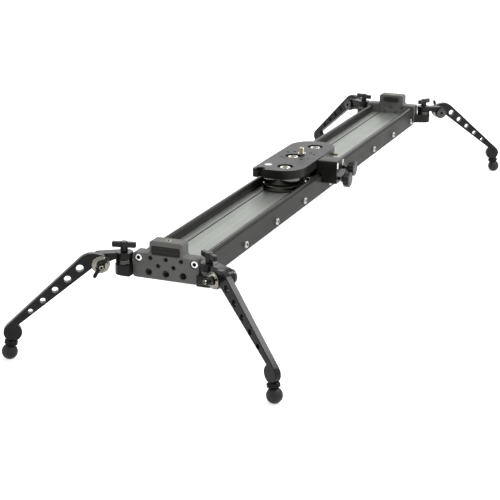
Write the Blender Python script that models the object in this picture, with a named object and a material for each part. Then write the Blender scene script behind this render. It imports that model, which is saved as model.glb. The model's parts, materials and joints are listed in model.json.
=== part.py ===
"""Camera slider with a one metre rail on four folding legs.

Metres, +Z up. The origin is on the floor, under the middle of the rail. X runs along the rail, from
the near end to the far end, and +Y is the rail's left side. Heights called *_Z in the sizes below
are measured from the guide rods' centre line, and ROD_HEIGHT lifts them to the floor's frame.
"""

import math

import bmesh
import bpy
from mathutils import Matrix, Vector

MM = 0.001
GAP = 0.3 * MM
EDGE = 0.7 * MM
OVERSHOOT = 2 * MM
ARC_STEP = math.radians(22.5)
ARC_ERROR = 0.2 * MM

# Rail
RAIL_LENGTH = 1000 * MM
ROD_Y = 39 * MM
ROD_RADIUS = 3.85 * MM
RAIL_OUTER_Y = 44.5 * MM
RAIL_INNER_Y = 36.3 * MM
RAIL_BOTTOM_Z = -28.5 * MM
RAIL_LIP_Z = 0.6 * MM
CRADLE_LIP_ANGLE = math.radians(0)
CRADLE_INNER_ANGLE = math.radians(-118)
RAIL_INNER_CHAMFER = 1 * MM
BED_TOP_Z = -9.5 * MM
BED_THICKNESS = 4.5 * MM
BED_WEB = 6 * MM
BED_RIB = 3 * MM
BED_RIB_Y = 12 * MM
BED_RIB_DEPTH = 9 * MM
GROOVE_Y = 21.5 * MM
GROOVE_WIDTH = 2 * MM
GROOVE_DEPTH = 2 * MM

# End plates
PLATE_THICKNESS = 20 * MM
PLATE_HALF_WIDTH = 46.5 * MM
PLATE_BOTTOM_Z = -26.2 * MM
SHOULDER_Z = 7 * MM
HUMP_HALF_WIDTH = 23 * MM
HUMP_TOP_Z = 25 * MM
PLATE_CORNER = 3 * MM
HUMP_CORNER = 4 * MM
HUMP_FILLET = 3.5 * MM
BOLT_SINK_RADIUS = 5.6 * MM
BOLT_SINK_DEPTH = 6.5 * MM
RECESS_WIDTH = 40 * MM
RECESS_HEIGHT = 12.3 * MM
RECESS_Z = 12.5 * MM
RECESS_DEPTH = 1.3 * MM
RECESS_CORNER = 3 * MM
SMALL_HOLE_RADIUS = 3.1 * MM
UPPER_HOLE_Y = 21.5 * MM
UPPER_HOLE_Z = 1.8 * MM
MIDDLE_HOLE_Y = 10.75 * MM
MIDDLE_HOLE_Z = -7.8 * MM
LARGE_HOLE_RADIUS = 4.75 * MM
LARGE_HOLE_Y = 24.1 * MM
LARGE_HOLE_Z = -17.2 * MM
INSERT_RADIUS = 3.8 * MM
INSERT_DEPTH = 9 * MM
BUMPER_LENGTH = 30 * MM
BUMPER_HEIGHT = 9 * MM
BUMPER_THICKNESS = 3 * MM
BUMPER_Z = 17 * MM

# Carriage
CARRIAGE_X = -25.5 * MM
TOP_PLATE_LENGTH = 206.6 * MM
TOP_PLATE_HALF_WIDTH = 36.8 * MM
TOP_PLATE_TOP_Z = 26.2 * MM
TOP_PLATE_THICKNESS = 13.5 * MM
NOTCH_CORNER = 4 * MM
NOTCH_Y = 24.5 * MM
NOTCH_INSET = 5 * MM
NOTCH_RADIUS = 7 * MM
NOTCH_DEPTH = 5.5 * MM
NOTCH_SLOT = 6 * MM
COUNTERBORE_RADIUS = 12.5 * MM
COUNTERBORE_DEPTH = 3.2 * MM
TAPPED_RADIUS = 2.2 * MM
TAPPED_PATTERNS = ((15 * MM, 21.7 * MM), (23.2 * MM, 13.4 * MM))
CAMERA_SCREW_X = 18.5 * MM
CAMERA_SCREW_RADIUS = 4.7 * MM
CAMERA_SCREW_STAND = 8.5 * MM
CAMERA_COLLAR_RADIUS = 6.4 * MM
CAMERA_COLLAR_HEIGHT = 1.2 * MM
CAMERA_SCREW_LENGTH = 20 * MM
POD_RADIUS = 30 * MM
DECK_INSET = 4.8 * MM
POD_BOTTOM_Z = -8.7 * MM
POD_FLANGE_TOP_Z = -0.6 * MM
POD_NECK_RADIUS = 28 * MM
POD_BAND_Z = 2.4 * MM
DECK_BOTTOM_Z = 5 * MM
SPINE_HALF_WIDTH = 14 * MM
ROLLER_INSET = 32.7 * MM
ROLLER_GROOVE_RADIUS = 8.5 * MM
ROLLER_RADIUS = 9.6 * MM
ROLLER_HALF_HEIGHT = 3.6 * MM
AXLE_RADIUS = 2.8 * MM
AXLE_HEAD_RADIUS = 4.6 * MM
AXLE_HEAD_HEIGHT = 1.6 * MM

# Brake block and its knobs
BLOCK_FRONT_X = -14.5 * MM
BLOCK_UPPER_LENGTH = 32 * MM
BLOCK_LOWER_LENGTH = 43 * MM
BLOCK_OUTER_Y = 69.5 * MM
BLOCK_TOP_Z = 25.4 * MM
BLOCK_STEP_Z = 17 * MM
BLOCK_BOTTOM_Z = -10 * MM
BLOCK_CORNER = 2 * MM
BRAKE_X = -3.5 * MM
BRAKE_Z = -2.9 * MM
CLAMP_X = 20 * MM
CLAMP_Z = 9.6 * MM
KNOB_RADIUS = 12.2 * MM
KNOB_LOBE = 0.5 * MM
KNOB_LOBES = 12
KNOB_THICKNESS = 9.6 * MM
KNOB_STAND = 9.6 * MM
KNOB_COLLAR_RADIUS = 5.5 * MM
KNOB_COLLAR_HEIGHT = 4 * MM
SHAFT_RADIUS = 3 * MM
PAD_RADIUS = 5 * MM
PAD_THICKNESS = 2.6 * MM

# Legs
PIVOT_INSET = 2 * MM
PIVOT_REACH = 12.9 * MM
LEG_SPLAY = math.radians(58.5)
LEG_TILT = math.radians(40.4)
BRACKET_RADIUS = 12 * MM
BRACKET_TOP_Z = -9.6 * MM
BRACKET_BOTTOM_Z = -24.3 * MM
ARM_BOTTOM_Z = -3.5 * MM
ARM_TOP_Z = 5.7 * MM
ARM_HUB_RADIUS = 11.8 * MM
ARM_FRONT = 6 * MM
ARM_BACK = 10.5 * MM
ARM_BAR_INSET = 0.5 * MM
SPACER_RADIUS = 11.2 * MM
HINGE_REACH = 31.5 * MM
KNUCKLE_RADIUS = 11.2 * MM
T_HUB_RADIUS = 4.9 * MM
T_TOP_Z = 19 * MM
T_BAR_LENGTH = 31.5 * MM
T_BAR_HEIGHT = 7 * MM
T_BAR_WIDTH = 7 * MM
T_ANGLES = {"near_left": -77, "near_right": 55, "far_left": 70, "far_right": -20}
BOLT_RADIUS = 3 * MM
BOLT_HEAD_RADIUS = 9 * MM
BOLT_HEAD_HEIGHT = 3.4 * MM
BOLT_SOCKET_RADIUS = 3.2 * MM
BOLT_SOCKET_DEPTH = 2.2 * MM
BOLT_END_STAND = 2.5 * MM
LEG_THICKNESS = 9 * MM
LEG_HUB_RADIUS = 12 * MM
LEG_LINE = 13.9 * MM
LEG_SHOULDER = 9.9 * MM
LEG_SHOULDER_S = 1 * MM
LEG_SHOULDER_FILLET = 22 * MM
LEG_LOWER_ROOT = 10.5 * MM
LEG_LOWER_TIP = 3.2 * MM
LEG_HOLES = 5
LEG_FIRST_HOLE = 22.8 * MM
LEG_HOLE_PITCH = 21 * MM
LEG_FIRST_HOLE_RADIUS = 5 * MM
LEG_LAST_HOLE_RADIUS = 3.3 * MM
LEG_END_S = 142.6 * MM
LEG_END_DROP = 6 * MM
LEG_END_RADIUS = 12 * MM
DISC_RADIUS = 11.2 * MM
DISC_THICKNESS = 3.2 * MM
WING_HUB_RADIUS = 5.6 * MM
WING_NECK_RADIUS = 4.5 * MM
WING_HUB_HEIGHT = 8.5 * MM
WING_SPAN = 16.5 * MM
WING_HEIGHT = 9 * MM
WING_THICKNESS = 3.8 * MM
WING_ANGLES = {"near_left": -53, "near_right": 20, "far_left": 30, "far_right": 100}
FOOT_SEAT = 10.7 * MM
FOOT_LEAN = math.radians(10.5)
FOOT_STUD_RADIUS = 2.9 * MM
FOOT_STUD_ABOVE = 11 * MM
FOOT_STUD_BELOW = 8 * MM
LOCK_NUT_RADIUS = 8.6 * MM
LOCK_NUT_HEIGHT = 6.2 * MM
BALL_RADIUS = 10.4 * MM
BALL_NECK_RADIUS = 4.4 * MM
BALL_FLAT_RADIUS = 3 * MM

# Worked out from the sizes above
RAIL_END = RAIL_LENGTH / 2
PLATE_OUTER_X = RAIL_END + PLATE_THICKNESS
PIVOT_X = PLATE_OUTER_X - PIVOT_INSET
PIVOT_Y = PLATE_HALF_WIDTH + PIVOT_REACH
POD_SPACING = TOP_PLATE_LENGTH - 2 * DECK_INSET - 2 * POD_RADIUS
COUNTERBORES = (
    (-POD_SPACING / 2 - 4 * MM, -5.6 * MM),
    (-4.5 * MM, 6.2 * MM),
    (POD_SPACING / 2 - 2 * MM, -5.9 * MM),
)
ROLLER_OFFSET_X = POD_SPACING / 2 - ROLLER_INSET
ROLLER_Y = ROD_Y - ROD_RADIUS - GAP - ROLLER_GROOVE_RADIUS
TOP_PLATE_BOTTOM_Z = TOP_PLATE_TOP_Z - TOP_PLATE_THICKNESS
DECK_TOP_Z = TOP_PLATE_BOTTOM_Z - GAP
HINGE_Z = ARM_TOP_Z - ARM_BAR_INSET - KNUCKLE_RADIUS
LEG_INNER_Y = ARM_FRONT + GAP
LEG_MIDDLE_Y = LEG_INNER_Y + LEG_THICKNESS / 2
DISC_INNER_Y = LEG_INNER_Y + LEG_THICKNESS + GAP
WING_INNER_Y = DISC_INNER_Y + DISC_THICKNESS + GAP
LEG_END_N = LEG_LINE - LEG_END_DROP
FOOT_X = LEG_END_S * math.cos(LEG_TILT) + LEG_END_N * math.sin(LEG_TILT)
FOOT_Z = LEG_END_N * math.cos(LEG_TILT) - LEG_END_S * math.sin(LEG_TILT)
NUT_TOP = -FOOT_SEAT - GAP
NUT_BOTTOM = NUT_TOP - LOCK_NUT_HEIGHT
BALL_TOP = NUT_BOTTOM - GAP
BALL_CENTRE = BALL_TOP - math.sqrt(BALL_RADIUS**2 - BALL_NECK_RADIUS**2)
BALL_OUT = -BALL_CENTRE * math.sin(FOOT_LEAN)
BALL_DROP = BALL_CENTRE * math.cos(FOOT_LEAN)
BALL_BOTTOM = BALL_DROP - math.sqrt(BALL_RADIUS**2 - BALL_FLAT_RADIUS**2)
ROD_HEIGHT = -(HINGE_Z + FOOT_Z + BALL_BOTTOM)


def arc(centre_x, centre_y, radius, start, end):
    """Points from angle start to angle end, both included."""
    step = min(ARC_STEP, 2 * math.acos(max(0, 1 - ARC_ERROR / radius)))
    steps = max(2, math.ceil(abs(end - start) / step))
    angles = [start + (end - start) * i / steps for i in range(steps + 1)]
    return [(centre_x + radius * math.cos(a), centre_y + radius * math.sin(a)) for a in angles]


def circle(centre_x, centre_y, radius, sides):
    turns = [math.tau * i / sides for i in range(sides)]
    return [(centre_x + radius * math.cos(a), centre_y + radius * math.sin(a)) for a in turns]


def rounded(corners):
    """An outline through (x, y, radius) corners, each radius rounded off by an arc."""
    outline = []
    for i, (x, y, radius) in enumerate(corners):
        here = Vector((x, y))
        before = (Vector(corners[i - 1][:2]) - here).normalized()
        after = (Vector(corners[(i + 1) % len(corners)][:2]) - here).normalized()
        if radius == 0:
            outline.append((x, y))
            continue
        half = before.angle(after) / 2
        centre = here + (before + after).normalized() * (radius / math.sin(half))
        first = here + before * (radius / math.tan(half)) - centre
        last = here + after * (radius / math.tan(half)) - centre
        start = math.atan2(first.y, first.x)
        sweep = math.atan2(first.x * last.y - first.y * last.x, first.dot(last))
        outline += arc(centre.x, centre.y, radius, start, start + sweep)
    return outline


def mirrored(outline):
    return [(-x, y) for x, y in reversed(outline)]


def grown(outline, distance):
    """The outline moved out by distance along its corners' mitres. It runs anticlockwise."""
    moved = []
    for i, point in enumerate(outline):
        here = Vector(point)
        into = (here - Vector(outline[i - 1])).normalized()
        away = (Vector(outline[(i + 1) % len(outline)]) - here).normalized()
        mitre = Vector((into.y + away.y, -into.x - away.x))
        here += mitre * (distance / (1 + into.dot(away)))
        moved.append((here.x, here.y))
    return moved


def add_object(name, shape, material):
    bmesh.ops.recalc_face_normals(shape, faces=shape.faces)
    mesh = bpy.data.meshes.new(name)
    shape.to_mesh(mesh)
    shape.free()
    mesh.shade_smooth()
    mesh.set_sharp_from_angle(angle=math.radians(30))
    if material:
        mesh.materials.append(material)
    obj = bpy.data.objects.new(name, mesh)
    bpy.context.scene.collection.objects.link(obj)
    return obj


AXES = {
    "Z": Matrix.Identity(3),
    "Y": Matrix(((1, 0, 0), (0, 0, -1), (0, 1, 0))),
    "X": Matrix(((0, 0, 1), (1, 0, 0), (0, 1, 0))),
}


def prism(name, outline, low, high, material=None, holes=(), edge=0.0, axis="Z"):
    """An outline with holes, drawn across the axis and run from low to high.

    Its outer edges are broken by edge. Across Z it is drawn in (x, y), across Y in (x, z) with low and high
    on -Y, across X in (y, z).
    """
    shape = bmesh.new()
    turn = AXES[axis]
    straight = [(low, 0), (high, 0)]
    broken = [(low, -edge), (low + edge, 0), (high - edge, 0), (high, -edge)]
    caps = [[], []]
    walls = [(outline, broken if edge else straight)] + [(hole, straight) for hole in holes]
    for loop, levels in walls:
        rings = []
        for height, growth in levels:
            ring = grown(loop, growth) if growth else loop
            rings.append([shape.verts.new(turn @ Vector((x, y, height))) for x, y in ring])
        count = len(loop)
        for lower, upper in zip(rings, rings[1:]):
            for i in range(count):
                j = (i + 1) % count
                shape.faces.new((lower[i], lower[j], upper[j], upper[i]))
        for cap, ring in zip(caps, (rings[0], rings[-1])):
            cap += [shape.edges.get((ring[i], ring[(i + 1) % count])) for i in range(count)]
    for cap in caps:
        bmesh.ops.triangle_fill(shape, use_beauty=True, edges=cap)
    return add_object(name, shape, material)


def turned(name, profile, sides, material=None, axis="Z"):
    """A (radius, height) profile turned about the axis, closed on itself unless it ends on the axis."""
    shape = bmesh.new()
    turn = AXES[axis]
    rings = []
    for radius, height in profile:
        points = circle(0, 0, radius, sides) if radius else [(0, 0)]
        rings.append([shape.verts.new(turn @ Vector((x, y, height))) for x, y in points])
    solid = profile[0][0] == 0
    pairs = zip(rings, rings[1:]) if solid else zip(rings, rings[1:] + rings[:1])
    for lower, upper in pairs:
        for i in range(sides):
            j = (i + 1) % sides
            below = [lower[i % len(lower)], lower[j % len(lower)]]
            above = [upper[j % len(upper)], upper[i % len(upper)]]
            shape.faces.new(list(dict.fromkeys(below + above)))
    return add_object(name, shape, material)


def combine(obj, tool, operation):
    """Joins the tool to the object, or cuts it away, and removes the tool."""
    step = obj.modifiers.new(operation, "BOOLEAN")
    step.operation = operation
    step.object = tool
    bpy.context.view_layer.update()
    graph = bpy.context.evaluated_depsgraph_get()
    mesh = bpy.data.meshes.new_from_object(obj.evaluated_get(graph))
    obj.modifiers.clear()
    obj.data = mesh
    bpy.data.objects.remove(tool)
    mesh.shade_smooth()
    mesh.set_sharp_from_angle(angle=math.radians(30))


def cut(obj, tool):
    combine(obj, tool, "DIFFERENCE")


def join(obj, tool):
    combine(obj, tool, "UNION")


def copy_of(obj, name):
    twin = bpy.data.objects.new(name, obj.data)
    bpy.context.scene.collection.objects.link(twin)
    return twin


def place(obj, x, y, z, turn=0.0):
    """Puts an object's origin at x, y and a height measured from the rods, turned about Z."""
    obj.location = (x, y, ROD_HEIGHT + z)
    obj.rotation_euler = (0, 0, turn)


def make_material(name, colour, roughness, metallic):
    material = bpy.data.materials.new(name)
    material.use_nodes = True
    shader = material.node_tree.nodes["Principled BSDF"]
    shader.inputs["Base Color"].default_value = (*colour, 1)
    shader.inputs["Roughness"].default_value = roughness
    shader.inputs["Metallic"].default_value = metallic
    return material


def build_rail(dark, silver, rod_finish):
    cradle_radius = ROD_RADIUS + GAP
    cradle = arc(ROD_Y, 0, cradle_radius, CRADLE_LIP_ANGLE, CRADLE_INNER_ANGLE)
    side = [
        (RAIL_INNER_Y, RAIL_BOTTOM_Z),
        (RAIL_OUTER_Y, RAIL_BOTTOM_Z),
        (RAIL_OUTER_Y, RAIL_LIP_Z),
        (cradle[0][0], RAIL_LIP_Z),
        *cradle,
        (RAIL_INNER_Y, cradle[-1][1] - RAIL_INNER_CHAMFER),
    ]
    run = RAIL_END - GAP
    place(prism("side_rail_left", side, -run, run, dark, axis="X"), 0, 0, 0)
    place(prism("side_rail_right", mirrored(side), -run, run, dark, axis="X"), 0, 0, 0)

    half = RAIL_INNER_Y - GAP
    ceiling = BED_TOP_Z - BED_THICKNESS
    rib_inner = BED_RIB_Y - BED_RIB / 2
    rib_outer = BED_RIB_Y + BED_RIB / 2
    right_half = [
        (half, BED_TOP_Z),
        (half, RAIL_BOTTOM_Z),
        (half - BED_WEB, RAIL_BOTTOM_Z),
        (half - BED_WEB, ceiling),
        (rib_outer, ceiling),
        (rib_outer, ceiling - BED_RIB_DEPTH),
        (rib_inner, ceiling - BED_RIB_DEPTH),
        (rib_inner, ceiling),
    ]
    groove = [
        (GROOVE_Y - GROOVE_WIDTH / 2, BED_TOP_Z),
        (GROOVE_Y - GROOVE_WIDTH / 2, BED_TOP_Z - GROOVE_DEPTH),
        (GROOVE_Y + GROOVE_WIDTH / 2, BED_TOP_Z - GROOVE_DEPTH),
        (GROOVE_Y + GROOVE_WIDTH / 2, BED_TOP_Z),
    ]
    clockwise = groove + right_half + mirrored(groove + right_half)
    place(prism("bed_extrusion", clockwise[::-1], -run, run, silver, axis="X"), 0, 0, 0)

    rod = circle(0, 0, ROD_RADIUS, 16)
    left = prism("guide_rod_left", rod, -run, run, rod_finish, axis="X")
    place(left, 0, ROD_Y, 0)
    place(copy_of(left, "guide_rod_right"), 0, -ROD_Y, 0)


def build_end_plates(grey, rubber):
    corners = [
        (PLATE_HALF_WIDTH, PLATE_BOTTOM_Z, PLATE_CORNER),
        (PLATE_HALF_WIDTH, SHOULDER_Z, PLATE_CORNER),
        (HUMP_HALF_WIDTH, SHOULDER_Z, HUMP_FILLET),
        (HUMP_HALF_WIDTH, HUMP_TOP_Z, HUMP_CORNER),
    ]
    outline = rounded(corners + [(-y, z, r) for y, z, r in reversed(corners)])
    holes = [circle(y, UPPER_HOLE_Z, SMALL_HOLE_RADIUS, 12) for y in (-UPPER_HOLE_Y, 0, UPPER_HOLE_Y)]
    holes += [circle(y, MIDDLE_HOLE_Z, SMALL_HOLE_RADIUS, 12) for y in (-MIDDLE_HOLE_Y, MIDDLE_HOLE_Y)]
    holes += [circle(y, LARGE_HOLE_Z, LARGE_HOLE_RADIUS, 16) for y in (-LARGE_HOLE_Y, 0, LARGE_HOLE_Y)]
    far = prism("end_plate_far", outline, RAIL_END, PLATE_OUTER_X, grey, holes, EDGE, "X")
    beyond = PLATE_OUTER_X + OVERSHOOT
    for y in (-ROD_Y, ROD_Y):
        sink = circle(y, 0, BOLT_SINK_RADIUS, 20)
        cut(far, prism("sink", sink, PLATE_OUTER_X - BOLT_SINK_DEPTH, beyond, axis="X"))
    half_width = RECESS_WIDTH / 2
    half_height = RECESS_HEIGHT / 2
    recess = rounded([
        (-half_width, RECESS_Z - half_height, RECESS_CORNER),
        (half_width, RECESS_Z - half_height, RECESS_CORNER),
        (half_width, RECESS_Z + half_height, RECESS_CORNER),
        (-half_width, RECESS_Z + half_height, RECESS_CORNER),
    ])
    cut(far, prism("recess", recess, PLATE_OUTER_X - RECESS_DEPTH, beyond, axis="X"))
    insert = circle(RAIL_END + PLATE_THICKNESS / 2, 0, INSERT_RADIUS, 16)
    cut(far, prism("insert", insert, HUMP_TOP_Z - INSERT_DEPTH, HUMP_TOP_Z + OVERSHOOT))
    place(far, 0, 0, 0)
    place(copy_of(far, "end_plate_near"), 0, 0, 0, math.pi)

    half_height = BUMPER_HEIGHT / 2
    half_length = BUMPER_LENGTH / 2
    pad = rounded([
        (-half_length, BUMPER_Z - half_height, half_height * 0.9),
        (half_length, BUMPER_Z - half_height, half_height * 0.9),
        (half_length, BUMPER_Z + half_height, half_height * 0.9),
        (-half_length, BUMPER_Z + half_height, half_height * 0.9),
    ])
    seat = RAIL_END - GAP
    far_pad = prism("bumper_far", pad, seat - BUMPER_THICKNESS, seat, rubber, edge=EDGE, axis="X")
    place(far_pad, 0, 0, 0)
    place(copy_of(far_pad, "bumper_near"), 0, 0, 0, math.pi)


def build_carriage(black, grey, steel, brass, plastic):
    deck_half = POD_SPACING / 2
    pod = [
        (0, POD_BOTTOM_Z),
        (POD_RADIUS, POD_BOTTOM_Z),
        (POD_RADIUS, POD_FLANGE_TOP_Z),
        (POD_NECK_RADIUS, POD_FLANGE_TOP_Z),
        (POD_NECK_RADIUS, POD_BAND_Z),
        (POD_RADIUS - 2 * EDGE, POD_BAND_Z),
        (POD_RADIUS - 2 * EDGE, DECK_BOTTOM_Z + EDGE / 2),
        (0, DECK_BOTTOM_Z + EDGE / 2),
    ]
    deck = arc(deck_half, 0, POD_RADIUS, -math.pi / 2, math.pi / 2)
    deck += [(-x, -y) for x, y in deck]
    body = prism("carriage_body", deck, DECK_BOTTOM_Z, DECK_TOP_Z, black, edge=EDGE)
    spine = [
        (-deck_half, -SPINE_HALF_WIDTH),
        (deck_half, -SPINE_HALF_WIDTH),
        (deck_half, SPINE_HALF_WIDTH),
        (-deck_half, SPINE_HALF_WIDTH),
    ]
    join(body, prism("spine", spine, POD_BOTTOM_Z + EDGE, DECK_BOTTOM_Z + EDGE))
    for x in (-deck_half, deck_half):
        disc = turned("pod", pod, 36)
        disc.location.x = x
        join(body, disc)
    axle = [
        (0, -ROLLER_HALF_HEIGHT - GAP - AXLE_HEAD_HEIGHT),
        (AXLE_HEAD_RADIUS, -ROLLER_HALF_HEIGHT - GAP - AXLE_HEAD_HEIGHT),
        (AXLE_HEAD_RADIUS, -ROLLER_HALF_HEIGHT - GAP),
        (AXLE_RADIUS, -ROLLER_HALF_HEIGHT - GAP),
        (AXLE_RADIUS, DECK_BOTTOM_Z + EDGE),
        (0, DECK_BOTTOM_Z + EDGE),
    ]
    flank = (ROLLER_RADIUS - ROLLER_GROOVE_RADIUS) * 0.3
    groove_half = ROLLER_HALF_HEIGHT * 0.8
    roller = [
        (AXLE_RADIUS + GAP, -ROLLER_HALF_HEIGHT),
        (ROLLER_RADIUS, -ROLLER_HALF_HEIGHT),
        (ROLLER_RADIUS, -groove_half),
        (ROLLER_GROOVE_RADIUS + flank, -groove_half / 2),
        (ROLLER_GROOVE_RADIUS, 0),
        (ROLLER_GROOVE_RADIUS + flank, groove_half / 2),
        (ROLLER_RADIUS, groove_half),
        (ROLLER_RADIUS, ROLLER_HALF_HEIGHT),
        (AXLE_RADIUS + GAP, ROLLER_HALF_HEIGHT),
    ]
    places = [(x, y) for x in (-ROLLER_OFFSET_X, ROLLER_OFFSET_X) for y in (ROLLER_Y, -ROLLER_Y)]
    for number, (x, y) in enumerate(places, 1):
        pin = turned("pin", axle, 16)
        pin.location = (x, y, 0)
        join(body, pin)
        place(turned(f"roller_{number}", roller, 16, steel), CARRIAGE_X + x, y, 0)
    place(body, CARRIAGE_X, 0, 0)
    build_top_plate(black, brass)
    build_brake(black, grey, plastic)


def build_top_plate(black, brass):
    half_length = TOP_PLATE_LENGTH / 2
    width = TOP_PLATE_HALF_WIDTH
    straight = half_length - width
    outline = arc(-straight, 0, width, math.pi, 1.5 * math.pi)
    outline += arc(straight, 0, width, -math.pi / 2, math.pi / 2)
    corner_x = -half_length + NOTCH_CORNER
    outline += arc(corner_x, width - NOTCH_CORNER, NOTCH_CORNER, math.pi / 2, math.pi)
    tapped = [(x * i, y * j) for x, y in TAPPED_PATTERNS for i in (-1, 1) for j in (-1, 1)]
    holes = [circle(x, y, TAPPED_RADIUS, 8) for x, y in tapped]
    holes.append(circle(CAMERA_SCREW_X, 0, CAMERA_SCREW_RADIUS + GAP, 20))
    low = TOP_PLATE_BOTTOM_Z
    high = TOP_PLATE_TOP_Z
    plate = prism("top_plate", outline, low, high, black, holes, EDGE / 2)
    for x, y in COUNTERBORES:
        bore = circle(x, y, COUNTERBORE_RADIUS, 28)
        cut(plate, prism("bore", bore, high - COUNTERBORE_DEPTH, high + OVERSHOOT))
    notch_x = -half_length + NOTCH_INSET
    notch = circle(notch_x, NOTCH_Y, NOTCH_RADIUS, 24)
    cut(plate, prism("notch", notch, high - NOTCH_DEPTH, high + OVERSHOOT))
    outside = -half_length - OVERSHOOT
    slot = arc(notch_x, NOTCH_Y, NOTCH_SLOT / 2, -math.pi / 2, math.pi / 2)
    slot += [(outside, NOTCH_Y + NOTCH_SLOT / 2), (outside, NOTCH_Y - NOTCH_SLOT / 2)]
    cut(plate, prism("slot", slot, low - OVERSHOOT, high + OVERSHOOT))
    collar_bottom = high - CAMERA_COLLAR_HEIGHT
    collar_seat = circle(CAMERA_SCREW_X, 0, CAMERA_COLLAR_RADIUS + GAP, 24)
    cut(plate, prism("collar_seat", collar_seat, collar_bottom - GAP, high + OVERSHOOT))
    place(plate, CARRIAGE_X, 0, 0)

    tip = high + CAMERA_SCREW_STAND
    profile = [
        (0, tip - CAMERA_SCREW_LENGTH),
        (CAMERA_SCREW_RADIUS, tip - CAMERA_SCREW_LENGTH),
        (CAMERA_SCREW_RADIUS, collar_bottom),
        (CAMERA_COLLAR_RADIUS, collar_bottom),
        (CAMERA_COLLAR_RADIUS, high),
        (CAMERA_SCREW_RADIUS, high),
        (CAMERA_SCREW_RADIUS, tip - 2 * EDGE),
        (CAMERA_SCREW_RADIUS - 2 * EDGE, tip),
        (0, tip),
    ]
    place(turned("camera_screw", profile, 20, brass), CARRIAGE_X + CAMERA_SCREW_X, 0, 0)


def scalloped(radius, depth, lobes):
    """A knob's outline, whose rim dips smoothly between its lobes."""
    count = lobes * 4
    outline = []
    for i in range(count):
        angle = math.tau * i / count
        reach = radius - depth * (1 - math.cos(lobes * angle)) / 2 * 1.6
        outline.append((reach * math.cos(angle), reach * math.sin(angle)))
    return outline


def build_brake(black, grey, plastic):
    front = BLOCK_FRONT_X
    outline = rounded([
        (front, BLOCK_BOTTOM_Z, BLOCK_CORNER),
        (front + BLOCK_LOWER_LENGTH, BLOCK_BOTTOM_Z, BLOCK_CORNER),
        (front + BLOCK_LOWER_LENGTH, BLOCK_STEP_Z, BLOCK_CORNER),
        (front + BLOCK_UPPER_LENGTH, BLOCK_STEP_Z, BLOCK_CORNER),
        (front + BLOCK_UPPER_LENGTH, BLOCK_TOP_Z, BLOCK_CORNER),
        (front, BLOCK_TOP_Z, BLOCK_CORNER),
    ])
    inner = TOP_PLATE_HALF_WIDTH + GAP
    block = prism("brake_block", outline, inner, BLOCK_OUTER_Y, black, edge=EDGE, axis="Y")
    rail_face = RAIL_OUTER_Y + 2 * GAP
    rod_top = ROD_RADIUS + 3 * GAP
    back = front + BLOCK_LOWER_LENGTH
    under = [
        (front - OVERSHOOT, BLOCK_BOTTOM_Z - OVERSHOOT),
        (back + OVERSHOOT, BLOCK_BOTTOM_Z - OVERSHOOT),
        (back + OVERSHOOT, rod_top),
        (front - OVERSHOOT, rod_top),
    ]
    cut(block, prism("under", under, inner - OVERSHOOT, rail_face, axis="Y"))
    bore = SHAFT_RADIUS + GAP
    outside = BLOCK_OUTER_Y + OVERSHOOT
    brake_bore = circle(BRAKE_X, BRAKE_Z, bore, 20)
    cut(block, prism("brake_bore", brake_bore, rail_face - OVERSHOOT, outside, axis="Y"))
    clamp_bore = circle(CLAMP_X, CLAMP_Z, bore, 20)
    cut(block, prism("clamp_bore", clamp_bore, inner - OVERSHOOT, outside, axis="Y"))
    pad_back = RAIL_OUTER_Y + GAP + PAD_THICKNESS
    seat = circle(BRAKE_X, BRAKE_Z, PAD_RADIUS + GAP, 24)
    cut(block, prism("pad_seat", seat, rail_face - OVERSHOOT, pad_back + GAP, axis="Y"))
    place(block, CARRIAGE_X, 0, 0)

    pad = circle(0, 0, PAD_RADIUS, 24)
    brake_pad = prism("brake_pad", pad, RAIL_OUTER_Y + GAP, pad_back, plastic, edge=EDGE / 2, axis="Y")
    place(brake_pad, CARRIAGE_X + BRAKE_X, 0, BRAKE_Z)
    build_knob("brake_knob", BRAKE_X, BRAKE_Z, pad_back + GAP, plastic)
    build_knob("clamp_knob", CLAMP_X, CLAMP_Z, POD_RADIUS + GAP, plastic)


def build_knob(name, x, z, tip, plastic):
    """A scalloped knob on the shaft that runs in from it to tip."""
    base = BLOCK_OUTER_Y + KNOB_STAND
    rim = scalloped(KNOB_RADIUS, KNOB_LOBE, KNOB_LOBES)
    knob = prism(name, rim, base, base + KNOB_THICKNESS, plastic, edge=2 * EDGE, axis="Y")
    collar = base - KNOB_COLLAR_HEIGHT
    stem = [
        (0, tip),
        (SHAFT_RADIUS, tip),
        (SHAFT_RADIUS, collar),
        (KNOB_COLLAR_RADIUS, collar),
        (KNOB_COLLAR_RADIUS, base + EDGE),
        (0, base + EDGE),
    ]
    join(knob, turned("stem", stem, 20, axis="Y"))
    place(knob, CARRIAGE_X + x, 0, z)


def bracket_outline(side_x, side_y):
    """The leg bracket seen from above, from the end plate's side round the pivot."""
    root = PLATE_HALF_WIDTH + GAP
    outline = [(RAIL_END + EDGE, root), (PIVOT_X + BRACKET_RADIUS, root)]
    outline += arc(PIVOT_X, PIVOT_Y, BRACKET_RADIUS, 0, math.pi)
    placed = [(side_x * (x - PIVOT_X), side_y * (y - PIVOT_Y)) for x, y in outline]
    return placed if side_x * side_y > 0 else placed[::-1]


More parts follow.
